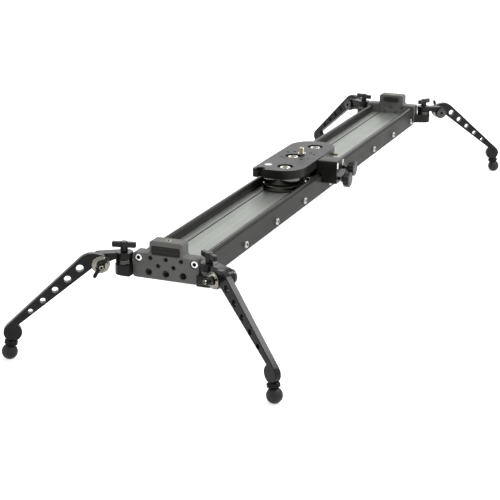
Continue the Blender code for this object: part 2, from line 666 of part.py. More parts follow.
def leg_outline():
    """The leg bar along its own length, with the hinge at the origin."""
    end_s, end_n = LEG_END_S, LEG_END_N
    root = LEG_LINE - LEG_LOWER_ROOT
    rise = (LEG_LOWER_ROOT - LEG_LOWER_TIP) / (end_s - LEG_FIRST_HOLE)
    lower_start = math.sqrt(LEG_HUB_RADIUS**2 - root**2)
    lower_angle = math.atan2(root, lower_start)
    meet_n = root + rise * (end_s - LEG_END_RADIUS - lower_start)
    meet_angle = math.pi - math.asin((meet_n - end_n) / LEG_END_RADIUS)
    end = arc(end_s, end_n, LEG_END_RADIUS, meet_angle, 2.5 * math.pi)
    shoulder_n = LEG_LINE + LEG_SHOULDER
    hub_start = math.radians(150)
    heel = (LEG_HUB_RADIUS * math.cos(hub_start), LEG_HUB_RADIUS * math.sin(hub_start))
    shoulder = rounded([
        (*end[-1], 0),
        (LEG_SHOULDER_S, shoulder_n, LEG_SHOULDER_FILLET),
        (*heel, 0),
    ])
    hub = arc(0, 0, LEG_HUB_RADIUS, hub_start, math.tau + lower_angle)
    return end + shoulder[1:-1] + hub


def build_leg_bar(black):
    shrink = (LEG_FIRST_HOLE_RADIUS - LEG_LAST_HOLE_RADIUS) / (LEG_HOLES - 1)
    holes = []
    for i in range(LEG_HOLES):
        along = LEG_FIRST_HOLE + LEG_HOLE_PITCH * i
        holes.append(circle(along, LEG_LINE, LEG_FIRST_HOLE_RADIUS - shrink * i, 16))
    holes.append(circle(0, 0, BOLT_RADIUS + GAP, 12))
    half = LEG_THICKNESS / 2
    bar = prism("leg_bar", leg_outline(), -half, half, black, holes, EDGE, "Y")
    seat = [
        (0, -FOOT_SEAT - LEG_END_RADIUS),
        (LOCK_NUT_RADIUS + OVERSHOOT, -FOOT_SEAT - LEG_END_RADIUS),
        (LOCK_NUT_RADIUS + OVERSHOOT, -FOOT_SEAT),
        (FOOT_STUD_RADIUS + GAP, -FOOT_SEAT),
        (FOOT_STUD_RADIUS + GAP, -FOOT_SEAT + FOOT_STUD_ABOVE + GAP),
        (0, -FOOT_SEAT + FOOT_STUD_ABOVE + GAP),
    ]
    socket = turned("socket", seat, 16)
    socket.location = (LEG_END_S, 0, LEG_END_N)
    socket.rotation_euler = (0, -LEG_TILT - FOOT_LEAN, 0)
    cut(bar, socket)
    return bar


def build_arm(black, hand):
    """The swivel arm, whose thin side carries the leg: towards +Y where hand is 1, -Y where it is -1."""
    bar_bottom = ARM_BOTTOM_Z + ARM_BAR_INSET
    outline = [(0, ARM_TOP_Z - ARM_BAR_INSET), (0, bar_bottom), (ARM_HUB_RADIUS, bar_bottom)]
    outline += arc(HINGE_REACH, HINGE_Z, KNUCKLE_RADIUS, -math.pi, math.pi / 2)
    low, high = (-ARM_FRONT, ARM_BACK) if hand > 0 else (-ARM_BACK, ARM_FRONT)
    arm = prism("swivel_arm", outline, low, high, black, edge=EDGE, axis="Y")
    join(arm, prism("hub", circle(0, 0, ARM_HUB_RADIUS, 20), ARM_BOTTOM_Z, ARM_TOP_Z, edge=EDGE))
    bore = BOLT_RADIUS + GAP
    pivot_bore = circle(0, 0, bore, 12)
    cut(arm, prism("pivot_bore", pivot_bore, ARM_BOTTOM_Z - OVERSHOOT, ARM_TOP_Z + OVERSHOOT))
    reach = ARM_BACK + OVERSHOOT
    hinge_bore = circle(HINGE_REACH, HINGE_Z, bore, 12)
    cut(arm, prism("hinge_bore", hinge_bore, -reach, reach, axis="Y"))
    return arm


def build_t_handle(plastic):
    low = ARM_TOP_Z + GAP
    bar_top = T_TOP_Z - EDGE
    half = T_BAR_LENGTH / 2
    corner = T_BAR_WIDTH * 0.3
    bar = rounded([
        (-half, -T_BAR_WIDTH / 2, corner),
        (half, -T_BAR_WIDTH / 2, corner),
        (half, T_BAR_WIDTH / 2, corner),
        (-half, T_BAR_WIDTH / 2, corner),
    ])
    handle = prism("t_handle", bar, bar_top - T_BAR_HEIGHT, bar_top, plastic, edge=EDGE)
    profile = [
        (0, BRACKET_BOTTOM_Z + EDGE),
        (BOLT_RADIUS, BRACKET_BOTTOM_Z + EDGE),
        (BOLT_RADIUS, low),
        (T_HUB_RADIUS, low),
        (T_HUB_RADIUS, T_TOP_Z - EDGE / 2),
        (T_HUB_RADIUS - EDGE / 2, T_TOP_Z),
        (0, T_TOP_Z),
    ]
    join(handle, turned("stem", profile, 12))
    return handle


def build_wing_nut(black):
    """A wing nut along -Y, from its seat at the origin."""
    bore = BOLT_RADIUS + GAP
    profile = [
        (bore, 0),
        (WING_HUB_RADIUS, 0),
        (WING_HUB_RADIUS, WING_HUB_HEIGHT * 0.35),
        (WING_NECK_RADIUS, WING_HUB_HEIGHT),
        (bore, WING_HUB_HEIGHT),
    ]
    nut = turned("wing_nut", profile, 14, black, "Y")
    root = WING_NECK_RADIUS * 0.85
    wing = rounded([
        (root, WING_HUB_HEIGHT * 0.15, 0),
        (WING_SPAN * 0.62, WING_HUB_HEIGHT * 0.3, EDGE),
        (WING_SPAN, WING_HEIGHT * 0.75, WING_THICKNESS),
        (WING_SPAN * 0.8, WING_HEIGHT * 1.25, WING_THICKNESS / 2),
        (root, WING_HUB_HEIGHT * 0.8, 0),
    ])
    for turn in (0, math.pi):
        half = WING_THICKNESS / 2
        blade = prism("blade", [(x, -y) for x, y in reversed(wing)], -half, half, edge=EDGE / 2)
        blade.matrix_world = Matrix.Rotation(turn, 4, "Y")
        join(nut, blade)
    return nut


def build_hinge_bolt(steel):
    """The hinge bolt along -Y: its head lies at negative heights, inside the arm."""
    head = -ARM_BACK - GAP
    top = head - BOLT_HEAD_HEIGHT
    tip = WING_INNER_Y + WING_HUB_HEIGHT + BOLT_END_STAND
    profile = [
        (0, top + BOLT_SOCKET_DEPTH),
        (BOLT_SOCKET_RADIUS, top + BOLT_SOCKET_DEPTH),
        (BOLT_SOCKET_RADIUS, top),
        (BOLT_HEAD_RADIUS - EDGE, top),
        (BOLT_HEAD_RADIUS, top + EDGE),
        (BOLT_HEAD_RADIUS, head),
        (BOLT_RADIUS, head),
        (BOLT_RADIUS, tip - EDGE),
        (BOLT_RADIUS - EDGE, tip),
        (0, tip),
    ]
    return turned("hinge_bolt", profile, 12, steel, "Y")


def build_friction_disc(nickel):
    bore = BOLT_RADIUS + GAP
    profile = [
        (bore, 0),
        (DISC_RADIUS, 0),
        (DISC_RADIUS, DISC_THICKNESS - 2 * EDGE),
        (DISC_RADIUS - 2 * EDGE, DISC_THICKNESS),
        (bore, DISC_THICKNESS),
    ]
    return turned("friction_disc", profile, 20, nickel, "Y")


def build_foot_stud(steel):
    """The threaded stud with its knurled lock nut, measured from the middle of the leg's round end."""
    profile = [
        (0, BALL_TOP - FOOT_STUD_BELOW),
        (FOOT_STUD_RADIUS, BALL_TOP - FOOT_STUD_BELOW),
        (FOOT_STUD_RADIUS, NUT_BOTTOM),
        (LOCK_NUT_RADIUS - EDGE, NUT_BOTTOM),
        (LOCK_NUT_RADIUS, NUT_BOTTOM + EDGE),
        (LOCK_NUT_RADIUS, NUT_TOP - EDGE),
        (LOCK_NUT_RADIUS - EDGE, NUT_TOP),
        (FOOT_STUD_RADIUS, NUT_TOP),
        (FOOT_STUD_RADIUS, -FOOT_SEAT + FOOT_STUD_ABOVE),
        (0, -FOOT_SEAT + FOOT_STUD_ABOVE),
    ]
    return turned("foot_stud", profile, 16, steel)


def build_ball(rubber):
    """A rubber ball with a worn flat below and a leaning socket for the stud, with X = 0 at its middle."""
    low = math.asin((BALL_BOTTOM - BALL_DROP) / BALL_RADIUS)
    side = arc(0, BALL_DROP, BALL_RADIUS, low, math.pi / 2)
    profile = [(0, BALL_BOTTOM), *side[:-1], (0, BALL_DROP + BALL_RADIUS)]
    ball = turned("ball_foot", profile, 16, rubber)
    bore = FOOT_STUD_RADIUS + GAP
    floor = BALL_TOP - FOOT_STUD_BELOW - GAP
    seat = [
        (0, floor),
        (bore, floor),
        (bore, BALL_TOP),
        (BALL_RADIUS, BALL_TOP),
        (BALL_RADIUS, NUT_TOP),
        (0, NUT_TOP),
    ]
    socket = turned("socket", seat, 16)
    socket.location = (-BALL_OUT, 0, 0)
    socket.rotation_euler = (0, -FOOT_LEAN, 0)
    cut(ball, socket)
    return ball


def build_legs(finish):
    """Four legs alike. Each stands in a frame on its pivot, with X pointing out along the leg."""
    arms = {hand: build_arm(finish["black"], hand) for hand in (1, -1)}
    bar = build_leg_bar(finish["black"])
    handle = build_t_handle(finish["plastic"])
    wing_nut = build_wing_nut(finish["black"])
    bolt = build_hinge_bolt(finish["steel"])
    disc = build_friction_disc(finish["nickel"])
    stud = build_foot_stud(finish["black"])
    ball = build_ball(finish["rubber"])
    spacer_ring = [
        (BOLT_RADIUS + GAP, BRACKET_TOP_Z + GAP),
        (SPACER_RADIUS, BRACKET_TOP_Z + GAP),
        (SPACER_RADIUS, ARM_BOTTOM_Z - GAP),
        (BOLT_RADIUS + GAP, ARM_BOTTOM_Z - GAP),
    ]
    spacer = turned("pivot_spacer", spacer_ring, 20, finish["nickel"])
    masters = [*arms.values(), bar, handle, wing_nut, bolt, disc, stud, ball, spacer]
    for name, side_x, side_y in (
        ("near_left", -1, 1),
        ("near_right", -1, -1),
        ("far_left", 1, 1),
        ("far_right", 1, -1),
    ):
        splay = math.atan2(side_y * math.sin(LEG_SPLAY), side_x * math.cos(LEG_SPLAY))
        frame = bpy.data.objects.new(f"leg_frame_{name}", None)
        bpy.context.scene.collection.objects.link(frame)
        place(frame, side_x * PIVOT_X, side_y * PIVOT_Y, 0, splay)
        hand = -side_x * side_y
        hinge = Vector((HINGE_REACH, 0, HINGE_Z))
        across = Matrix.Identity(4) if hand < 0 else Matrix.Rotation(math.pi, 4, "Z")
        tilt = Matrix.Rotation(LEG_TILT, 4, "Y")
        lean = Matrix.Rotation(-FOOT_LEAN, 4, "Y")
        foot = hinge + Vector((FOOT_X, hand * LEG_MIDDLE_Y, FOOT_Z))
        handle_turn = Matrix.Rotation(math.radians(T_ANGLES[name]) - splay, 4, "Z")
        wing_turn = Matrix.Rotation(hand * math.radians(WING_ANGLES[name]), 4, "Y")

        def at(x, y, z):
            return Matrix.Translation((x, y, z))

        for master, local in (
            (arms[hand], Matrix.Identity(4)),
            (spacer, Matrix.Identity(4)),
            (handle, handle_turn),
            (bolt, at(*hinge) @ across),
            (bar, at(hinge.x, hand * LEG_MIDDLE_Y, hinge.z) @ tilt),
            (disc, at(hinge.x, hand * DISC_INNER_Y, hinge.z) @ across),
            (wing_nut, at(hinge.x, hand * WING_INNER_Y, hinge.z) @ across @ wing_turn),
            (stud, at(*foot) @ lean),
            (ball, at(foot.x + BALL_OUT, foot.y, foot.z)),
        ):
            piece = copy_of(master, f"{master.name.split('.')[0]}_{name}")
            piece.parent = frame
            piece.matrix_local = local
        bracket = prism(
            f"leg_bracket_{name}",
            bracket_outline(side_x, side_y),
            BRACKET_BOTTOM_Z,
            BRACKET_TOP_Z,
            finish["black"],
            [circle(0, 0, BOLT_RADIUS + GAP, 12)],
            EDGE,
        )
        place(bracket, side_x * PIVOT_X, side_y * PIVOT_Y, 0)
    for master in masters:
        bpy.data.objects.remove(master)


def main():
    for obj in list(bpy.data.objects):
        bpy.data.objects.remove(obj)
    finish = {
        "dark": make_material("dark_anodised", (0.06, 0.062, 0.06), 0.42, 0.6),
        "silver": make_material("silver_anodised", (0.5, 0.51, 0.49), 0.4, 0.85),
        "rod": make_material("rod_anodised", (0.08, 0.082, 0.08), 0.3, 0.8),
        "grey": make_material("grey_anodised", (0.13, 0.132, 0.128), 0.45, 0.6),
        "black": make_material("black_anodised", (0.018, 0.018, 0.019), 0.38, 0.5),
        "steel": make_material("stainless_steel", (0.62, 0.62, 0.6), 0.28, 1.0),
        "nickel": make_material("nickel_plate", (0.6, 0.57, 0.5), 0.26, 1.0),
        "brass": make_material("zinc_yellow", (0.62, 0.55, 0.4), 0.35, 0.9),
        "plastic": make_material("black_plastic", (0.02, 0.02, 0.023), 0.45, 0.0),
        "rubber": make_material("black_rubber", (0.015, 0.015, 0.015), 0.75, 0.0),
    }
    build_rail(finish["dark"], finish["silver"], finish["rod"])
    build_end_plates(finish["grey"], finish["rubber"])
    build_carriage(finish["black"], finish["grey"], finish["steel"], finish["brass"], finish["plastic"])
    build_legs(finish)


main()
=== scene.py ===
"""The looks of the camera slider: finishes, fine turned pieces and fasteners, light and camera.

Metres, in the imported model's frame: X along the rail, +Y the rail's left side, +Z up from the floor.
"""

import json
import math
from typing import NamedTuple

import bmesh
import bpy
from mathutils import Matrix, Vector


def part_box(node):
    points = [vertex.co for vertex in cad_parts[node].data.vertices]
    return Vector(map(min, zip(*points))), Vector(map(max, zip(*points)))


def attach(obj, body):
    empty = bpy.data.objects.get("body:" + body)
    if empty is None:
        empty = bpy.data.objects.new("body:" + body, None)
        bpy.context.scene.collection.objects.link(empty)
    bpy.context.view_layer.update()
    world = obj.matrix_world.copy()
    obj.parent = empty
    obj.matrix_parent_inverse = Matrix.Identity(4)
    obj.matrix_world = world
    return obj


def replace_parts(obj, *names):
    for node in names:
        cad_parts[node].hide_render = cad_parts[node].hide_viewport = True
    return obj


MM = 0.001
LEGS = ("near_left", "near_right", "far_left", "far_right")
GAP = 0.3 * MM
EDGE_BREAK = 0.2 * MM
RING_EDGE = 0.3 * MM
WELD_DISTANCE = 0.005 * MM
SHARP_ANGLE = math.radians(32)
METRIC_PITCH = 1 * MM
THREAD_DEPTH = 0.54
THREAD_TIP = 0.25
ROWS_TO_A_TURN = 6
# Painted shade inside hexagon sockets: the play, wall and sink of a thin black cup.
SHADE_CUP_PLAY = 0.05 * MM
SHADE_CUP_WALL = 0.2 * MM
SHADE_CUP_SINK = 0.15 * MM

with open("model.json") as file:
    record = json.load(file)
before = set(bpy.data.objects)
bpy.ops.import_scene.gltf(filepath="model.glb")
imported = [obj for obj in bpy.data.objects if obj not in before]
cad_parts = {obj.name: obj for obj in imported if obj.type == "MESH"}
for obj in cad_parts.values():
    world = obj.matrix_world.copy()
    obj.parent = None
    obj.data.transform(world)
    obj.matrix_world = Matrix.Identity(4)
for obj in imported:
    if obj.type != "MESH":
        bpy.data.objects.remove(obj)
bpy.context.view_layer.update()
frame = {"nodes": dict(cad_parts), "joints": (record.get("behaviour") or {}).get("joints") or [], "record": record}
nodes = frame["nodes"]
joints = {joint["name"]: joint for joint in frame["joints"]}


def middle(node):
    low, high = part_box(node)
    return (Vector(low) + Vector(high)) / 2


class SocketHead(NamedTuple):
    """The sizes of a screw's head and of the hexagon socket in it."""

    radius: float
    height: float
    across_flats: float
    socket_depth: float
    rounding: float


# Places taken from the frame
ROD = middle("guide_rod_left")
ROD_Z = ROD.z
ROD_Y = ROD.y
RAIL_SIDE_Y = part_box("side_rail_left")[1][1]
PLATE_OUTER_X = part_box("end_plate_far")[1][0]
HUMP_TOP_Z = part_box("end_plate_far")[1][2]
HUMP_X = middle("end_plate_far").x
DECK_TOP_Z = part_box("top_plate")[1][2]
CARRIAGE_X = middle("top_plate").x
CAMERA_SCREW = Vector(joints["camera_screw_turn"]["pos_m"])
BLOCK_SIDE_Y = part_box("brake_block")[0][1]
PLATE_SIDE_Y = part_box("top_plate")[0][1]

# Fasteners on the rail
SIDE_SCREW = SocketHead(5 * MM, 3.6 * MM, 4.6 * MM, 2.4 * MM, 0.6 * MM)
SIDE_SCREWS = 9
SIDE_SCREW_PITCH = 120 * MM
SIDE_SCREW_DROP = 17.9 * MM
END_BOLT = SocketHead(4.9 * MM, 5 * MM, 5 * MM, 3.4 * MM, 0.5 * MM)
END_BOLT_SINK = 6.5 * MM
INSERT_RADIUS = 3.7 * MM
INSERT_BORE = 2.2 * MM
INSERT_DEPTH = 8 * MM
INSERT_RISE = 0.25 * MM
RECESS_HALF_WIDTH = 20 * MM
RECESS_HALF_HEIGHT = 6.15 * MM
RECESS_CORNER = 3 * MM
RECESS_RISE = 12.5 * MM
RECESS_DEPTH = 1.3 * MM
PANEL_MARGIN = 0.5 * MM

# Fasteners on the carriage
PLATE_BOLT = SocketHead(4.5 * MM, 2.9 * MM, 4 * MM, 1.8 * MM, 0.4 * MM)
PLATE_BOLTS = ((-72.5 * MM, -5.6 * MM), (-4.5 * MM, 6.2 * MM), (66.5 * MM, -5.9 * MM))
PLATE_BOLT_SINK = 3.2 * MM
WASHER_RADIUS = 7.9 * MM
WASHER_BORE = 4.7 * MM
WASHER_THICKNESS = 2 * MM
WASHER_EDGE = 0.4 * MM
PLUG_PLACE = (-72.5 * MM, 22 * MM)
PLUG_RADIUS = 5.8 * MM
PLUG_SINK = 0.4 * MM
PLUG_RISE = 0.35 * MM
DOWELS_X = (-11.5 * MM, 14.5 * MM)
DOWEL_RADIUS = 1.6 * MM
DOWEL_RISE = 14 * MM
DOWEL_LENGTH = 9.7 * MM
DOWEL_ROUNDING = 0.5 * MM
SET_SCREW = SocketHead(2.5 * MM, 8.5 * MM, 2.5 * MM, 2 * MM, 0.5 * MM)
SET_SCREW_X = 65.5 * MM
SET_SCREW_RISE = 17.5 * MM
SET_SCREW_SINK = 0.5 * MM
CAMERA_STUD_RADIUS = 4.7 * MM
CAMERA_STUD_PITCH = 1.59 * MM
COLLAR_RADIUS = 6.4 * MM
COLLAR_BORE = 4.75 * MM
COLLAR_HEIGHT = 1.2 * MM

# Rings turned on the carriage's two round feet, in heights from the rods
POD_OFFSET = 68.5 * MM
POD_RADIUS = 30.15 * MM
POD_WALL = 3 * MM
POD_FLANGE = (-8.75 * MM, -0.5 * MM)
POD_FLANGE_ROUNDING = 1.6 * MM
POD_BAND = (2.35 * MM, 11.8 * MM)
POD_BAND_ROUNDING = 0.8 * MM

# Knobs
KNOB_RADIUS = 12.2 * MM
KNOB_LOBES = 12
KNOB_LOBE = 0.8 * MM
KNOB_STAND = 9.6 * MM
KNOB_THICKNESS = 9.6 * MM
KNOB_ROUNDING = 1.8 * MM
KNOB_COLLAR = 4 * MM
KNOB_COLLAR_RADIUS = 5.5 * MM
KNOB_COLLAR_CHAMFER = (0.3 * MM, 0.4 * MM)
KNOB_DISH_SHARE = 0.66
KNOB_DISH_DEPTH = 0.7 * MM
KNOB_DISH_SLOPE = 0.4 * MM
CAP_MARGIN = 0.8 * MM
CAP_SINK = 0.1 * MM
CAP_ROUNDING = 0.25 * MM
SHAFT_RADIUS = 3 * MM
SHAFT_OVERLAP = 0.2 * MM
SLEEVE_WALL = 0.8 * MM
SLEEVE_LENGTH = 1.8 * MM

# Leg stack, along the hinge bolt from the arm's middle, and heights from the rods
ARM_BACK = 10.5 * MM
BOLT_RADIUS = 3 * MM
BOLT_END = 30.1 * MM
BOLT_END_CHAMFER = (0.4 * MM, 0.5 * MM)
BOLT_HEAD = SocketHead(9 * MM, 3.4 * MM, 5 * MM, 2.2 * MM, 0.7 * MM)
END_SOCKET = 3.4 * MM
END_SOCKET_DEPTH = 2.2 * MM
DISC_INNER = 15.6 * MM
DISC_RADIUS = 11.2 * MM
DISC_THICKNESS = 3.2 * MM
DISC_FACE_RADIUS = 8 * MM
# In from the disc's rim, and height
DISC_RIM = (
    (0.4 * MM, 0),
    (0, 0.4 * MM),
    (0, 1.3 * MM),
    (0.4 * MM, 1.7 * MM),
    (1.2 * MM, 1.8 * MM),
    (1.7 * MM, 2.1 * MM),
)
WING_INNER = 19.1 * MM
WING_ANGLES = {"near_left": -53, "near_right": 20, "far_left": 30, "far_right": 100}
# Radius and height up the wing nut's hub
WING_HUB = ((5.6 * MM, 0), (5.7 * MM, 1 * MM), (5.3 * MM, 3.4 * MM), (4.8 * MM, 6.5 * MM))
WING_HUB_TOP = (4.6 * MM, 8.5 * MM)
# Along the wing, height, half width and half thickness
WING_STATIONS = (
    (4.2 * MM, 4.4 * MM, 2.5 * MM, 2.6 * MM),
    (7.0 * MM, 4.9 * MM, 2.3 * MM, 2.6 * MM),
    (10.0 * MM, 6.0 * MM, 2.2 * MM, 2.6 * MM),
    (13.0 * MM, 7.5 * MM, 2.3 * MM, 2.7 * MM),
    (15.4 * MM, 8.8 * MM, 2.0 * MM, 2.3 * MM),
    (16.4 * MM, 9.5 * MM, 1.2 * MM, 1.3 * MM),
)
WING_VOXEL = 0.4 * MM
SPACER_RADIUS = 11.2 * MM
SPACER_BOTTOM = -9.3 * MM
SPACER_TOP = -3.8 * MM
SPACER_GROOVE_DEPTH = 0.5 * MM
SPACER_GROOVE_HALF_MOUTH = 0.5 * MM
SPACER_GROOVE_HALF_FLOOR = 0.3 * MM
NUT_RADIUS = 8.6 * MM
NUT_HEIGHT = 6.2 * MM
NUT_KNURL = 0.6 * MM
NUT_TEETH = 36
NUT_BORE = 2.7 * MM
NUT_CHAMFER = (1.3 * MM, 0.8 * MM)
NUT_BAND = (0.9 * MM, 2.6 * MM)
NUT_GROOVE = (0.5 * MM, 2.7 * MM)
STUD_RADIUS = 2.9 * MM
STUD_ABOVE = 11 * MM
BALL_RADIUS = 10.4 * MM
BALL_NECK_RADIUS = 4.4 * MM
BALL_FLAT_RADIUS = 3 * MM
BALL_SEAT = 0.4 * MM
BALL_LIP = (0.6 * MM, 0.1 * MM)
BALL_BORE = 3 * MM
BALL_CENTRE_Z = math.sqrt(BALL_RADIUS**2 - BALL_FLAT_RADIUS**2)
FOOT_LEAN = math.radians(10.5)

# The photograph's camera
CAMERA_TARGET = Vector((-0.2274, 0, ROD_Z - 0.0707))
CAMERA_DISTANCE = 2.0794
CAMERA_AZIMUTH = math.radians(-68.573)
CAMERA_ELEVATION = math.radians(17.712)
CAMERA_ROLL = math.radians(0.568)
CAMERA_LENS = 102.08
SENSOR = 36


# Materials

NOISE_LOW = 0.3
NOISE_HIGH = 0.7
# Painted shade in the bed's grooves: how far it fades and how dark it goes.
GROOVE_FADE = 0.1 * MM
GROOVE_SHADE = 0.05


def shader_of(name, metallic, specular):
    """A new material for one of the record's slots."""
    material = bpy.data.materials.new(f"{name}_look")
    material["slot"] = name
    material.use_nodes = True
    tree = material.node_tree
    shader = tree.nodes["Principled BSDF"]
    shader.inputs["Metallic"].default_value = metallic
    shader.inputs["Specular IOR Level"].default_value = specular
    return material, tree, shader


def noise(tree, scale, detail, stretch=(1, 1, 1)):
    """The factor of a noise in the piece's own metres, with scale in cells to the metre."""
    place = tree.nodes.new("ShaderNodeTexCoord")
    mapping = tree.nodes.new("ShaderNodeMapping")
    mapping.inputs["Scale"].default_value = stretch
    texture = tree.nodes.new("ShaderNodeTexNoise")
    texture.inputs["Scale"].default_value = scale
    texture.inputs["Detail"].default_value = detail
    tree.links.new(place.outputs["Object"], mapping.inputs["Vector"])
    tree.links.new(mapping.outputs["Vector"], texture.inputs["Vector"])
    return texture.outputs["Fac"]


def spread(tree, factor, low, high):
    """The factor's usual range, stretched to run from low to high."""
    ramp = tree.nodes.new("ShaderNodeMapRange")
    ramp.inputs["From Min"].default_value = NOISE_LOW
    ramp.inputs["From Max"].default_value = NOISE_HIGH
    ramp.inputs["To Min"].default_value = low
    ramp.inputs["To Max"].default_value = high
    tree.links.new(factor, ramp.inputs["Value"])
    return ramp.outputs["Result"]


def tint(tree, shader, factor, dark, light):
    """Base colour between dark and light by the factor."""
    mix = tree.nodes.new("ShaderNodeMix")
    mix.data_type = "RGBA"
    mix.inputs["A"].default_value = (*dark, 1)
    mix.inputs["B"].default_value = (*light, 1)
    tree.links.new(factor, mix.inputs["Factor"])
    tree.links.new(mix.outputs["Result"], shader.inputs["Base Color"])


def roughen(tree, shader, factor, roughness, swing):
    """Roughness about a value by the factor."""
    tree.links.new(spread(tree, factor, roughness - swing, roughness + swing), shader.inputs["Roughness"])


def relief(tree, shader, factor, strength, distance):
    """A bump of this depth, high where the factor is."""
    bump = tree.nodes.new("ShaderNodeBump")
    bump.inputs["Strength"].default_value = strength
    bump.inputs["Distance"].default_value = distance
    tree.links.new(factor, bump.inputs["Height"])
    tree.links.new(bump.outputs["Normal"], shader.inputs["Normal"])


def shades(colour, contrast):
    """A darker and a lighter shade of a colour."""
    return [c * (1 - contrast) for c in colour], [c * (1 + contrast) for c in colour]


def anodised(name, colour, roughness, metallic, specular, contrast):
    """Bead-blasted and anodised: an even satin grain, with faint cloudy handling marks."""
    material, tree, shader = shader_of(name, metallic, specular)
    fine = noise(tree, scale=2600, detail=2.0)
    cloud = noise(tree, scale=22, detail=4.0)
    tint(tree, shader, spread(tree, cloud, 0, 1), *shades(colour, contrast))
    roughen(tree, shader, cloud, roughness, swing=0.05)
    relief(tree, shader, fine, strength=0.25, distance=0.04 * MM)
    return material


def brushed(name, colour, roughness, metallic, specular, contrast, stretch, depth):
    """Drawn or brushed metal, its scratches long where stretch is small."""
    material, tree, shader = shader_of(name, metallic, specular)
    lines = noise(tree, scale=1, detail=4.0, stretch=stretch)
    cloud = noise(tree, scale=9, detail=3.0)
    tint(tree, shader, spread(tree, lines, 0, 1), *shades(colour, contrast))
    roughen(tree, shader, cloud, roughness, swing=0.06)
    relief(tree, shader, lines, strength=0.35, distance=depth)
    return material


def turned(name, colour, roughness, contrast, depth):
    """Bright metal off a lathe."""
    metallic = 1.0
    specular = 0.5
    return brushed(name, colour, roughness, metallic, specular, contrast, TURNED, depth)


def moulded(name, colour, roughness, specular, grain, depth):
    """Moulded plastic or rubber with a fine spark-eroded grain."""
    metallic = 0.0
    material, tree, shader = shader_of(name, metallic, specular)
    fine = noise(tree, scale=grain, detail=5.0)
    cloud = noise(tree, scale=60, detail=3.0)
    tint(tree, shader, spread(tree, cloud, 0, 1), [c * 0.8 for c in colour], [c * 1.25 for c in colour])
    roughen(tree, shader, fine, roughness, swing=0.08)
    relief(tree, shader, fine, strength=0.4, distance=depth)
    return material


def shade_below(material, height):
    """Painted shade: the finish's colour darkened below a height of the piece, for the shade inside the bed's
    grooves.
    """
    tree = material.node_tree
    base = tree.nodes["Principled BSDF"].inputs["Base Color"]
    place = tree.nodes.new("ShaderNodeTexCoord")
    axes = tree.nodes.new("ShaderNodeSeparateXYZ")
    step = tree.nodes.new("ShaderNodeMapRange")
    step.inputs["From Min"].default_value = height - GROOVE_FADE
    step.inputs["From Max"].default_value = height
    step.inputs["To Min"].default_value = GROOVE_SHADE
    mix = tree.nodes.new("ShaderNodeMix")
    mix.data_type = "RGBA"
    mix.blend_type = "MULTIPLY"
    mix.inputs["Factor"].default_value = 1
    tree.links.new(place.outputs["Object"], axes.inputs["Vector"])
    tree.links.new(axes.outputs["Z"], step.inputs["Value"])
    tree.links.new(base.links[0].from_socket, mix.inputs["A"])
    tree.links.new(step.outputs["Result"], mix.inputs["B"])
    tree.links.new(mix.outputs["Result"], base)


DRAWN = (3, 900, 900)
TURNED = (900, 900, 900)
SILVER = (0.285, 0.303, 0.28)
RAIL_GREY = (0.038, 0.0385, 0.0355)
ROD_GREY = (0.03, 0.0304, 0.028)
PLATE_GREY = (0.15, 0.152, 0.144)
SATIN_BLACK = (0.0105, 0.0107, 0.01)
BLAST_BLACK = (0.014, 0.0143, 0.0132)
OXIDE_BLACK = (0.008, 0.008, 0.008)
STEEL = (0.72, 0.72, 0.7)
# Stainless steel darkened as painted shade, for the side screws' heads.
SHADED_STEEL = (0.38, 0.39, 0.385)
NICKEL = (0.22, 0.212, 0.18)
# Nickel plate darkened as painted shade, for the dark surroundings that spacers and hinge heads reflect.
SHADED_NICKEL = (0.065, 0.064, 0.059)
ZINC = (0.32, 0.29, 0.215)
RING_GREY = (0.11, 0.104, 0.095)
PLASTIC = (0.014, 0.0146, 0.0155)
RUBBER = (0.022, 0.022, 0.021)

# After the colour, what is brushed has roughness, metallic share, specular level, contrast, run and depth.
# Anodised has the first four, turned has roughness, contrast and depth, and moulded has roughness, specular
# level, grain and depth.
FINISHES = {
    "silver_anodised": brushed("silver_anodised", SILVER, 0.46, 0.85, 0.5, 0.2, DRAWN, 0.03 * MM),
    "dark_anodised": brushed("dark_anodised", RAIL_GREY, 0.42, 0.05, 0.035, 0.3, DRAWN, 0.03 * MM),
    "rod_anodised": brushed("rod_anodised", ROD_GREY, 0.28, 0.3, 0.12, 0.1, DRAWN, 0.01 * MM),
    "grey_anodised": anodised("grey_anodised", PLATE_GREY, 0.45, 0.12, 0.06, 0.12),
    "black_anodised": anodised("black_anodised", SATIN_BLACK, 0.2, 0.0, 0.15, 0.25),
    "blasted_black": anodised("black_anodised", BLAST_BLACK, 0.32, 0.0, 0.125, 0.2),
    "stainless_steel": turned("stainless_steel", STEEL, 0.2, 0.06, 0.01 * MM),
    # Painted shade: a darker copy of the stainless steel for the side screws.
    "shaded_screw_steel": turned("stainless_steel", SHADED_STEEL, 0.2, 0.06, 0.01 * MM),
    "nickel_plate": turned("nickel_plate", NICKEL, 0.2, 0.2, 0.015 * MM),
    # Painted shade: a darker copy of the nickel plate for the spacers and hinge heads.
    "shaded_nickel": turned("nickel_plate", SHADED_NICKEL, 0.16, 0.1, 0.01 * MM),
    "zinc_yellow": brushed("zinc_yellow", ZINC, 0.34, 0.9, 0.5, 0.12, TURNED, 0.015 * MM),
    "stud_black": anodised("stud_black", OXIDE_BLACK, 0.3, 0.3, 0.15, 0.3),
    "black_plastic": moulded("black_plastic", PLASTIC, 0.3, 0.2, 3000, 0.03 * MM),
    "polished_ring": turned("rod_anodised", RING_GREY, 0.14, 0.06, 0.004 * MM),
    "black_rubber": moulded("black_rubber", RUBBER, 0.5, 0.2, 1600, 0.06 * MM),
}


# Shapes


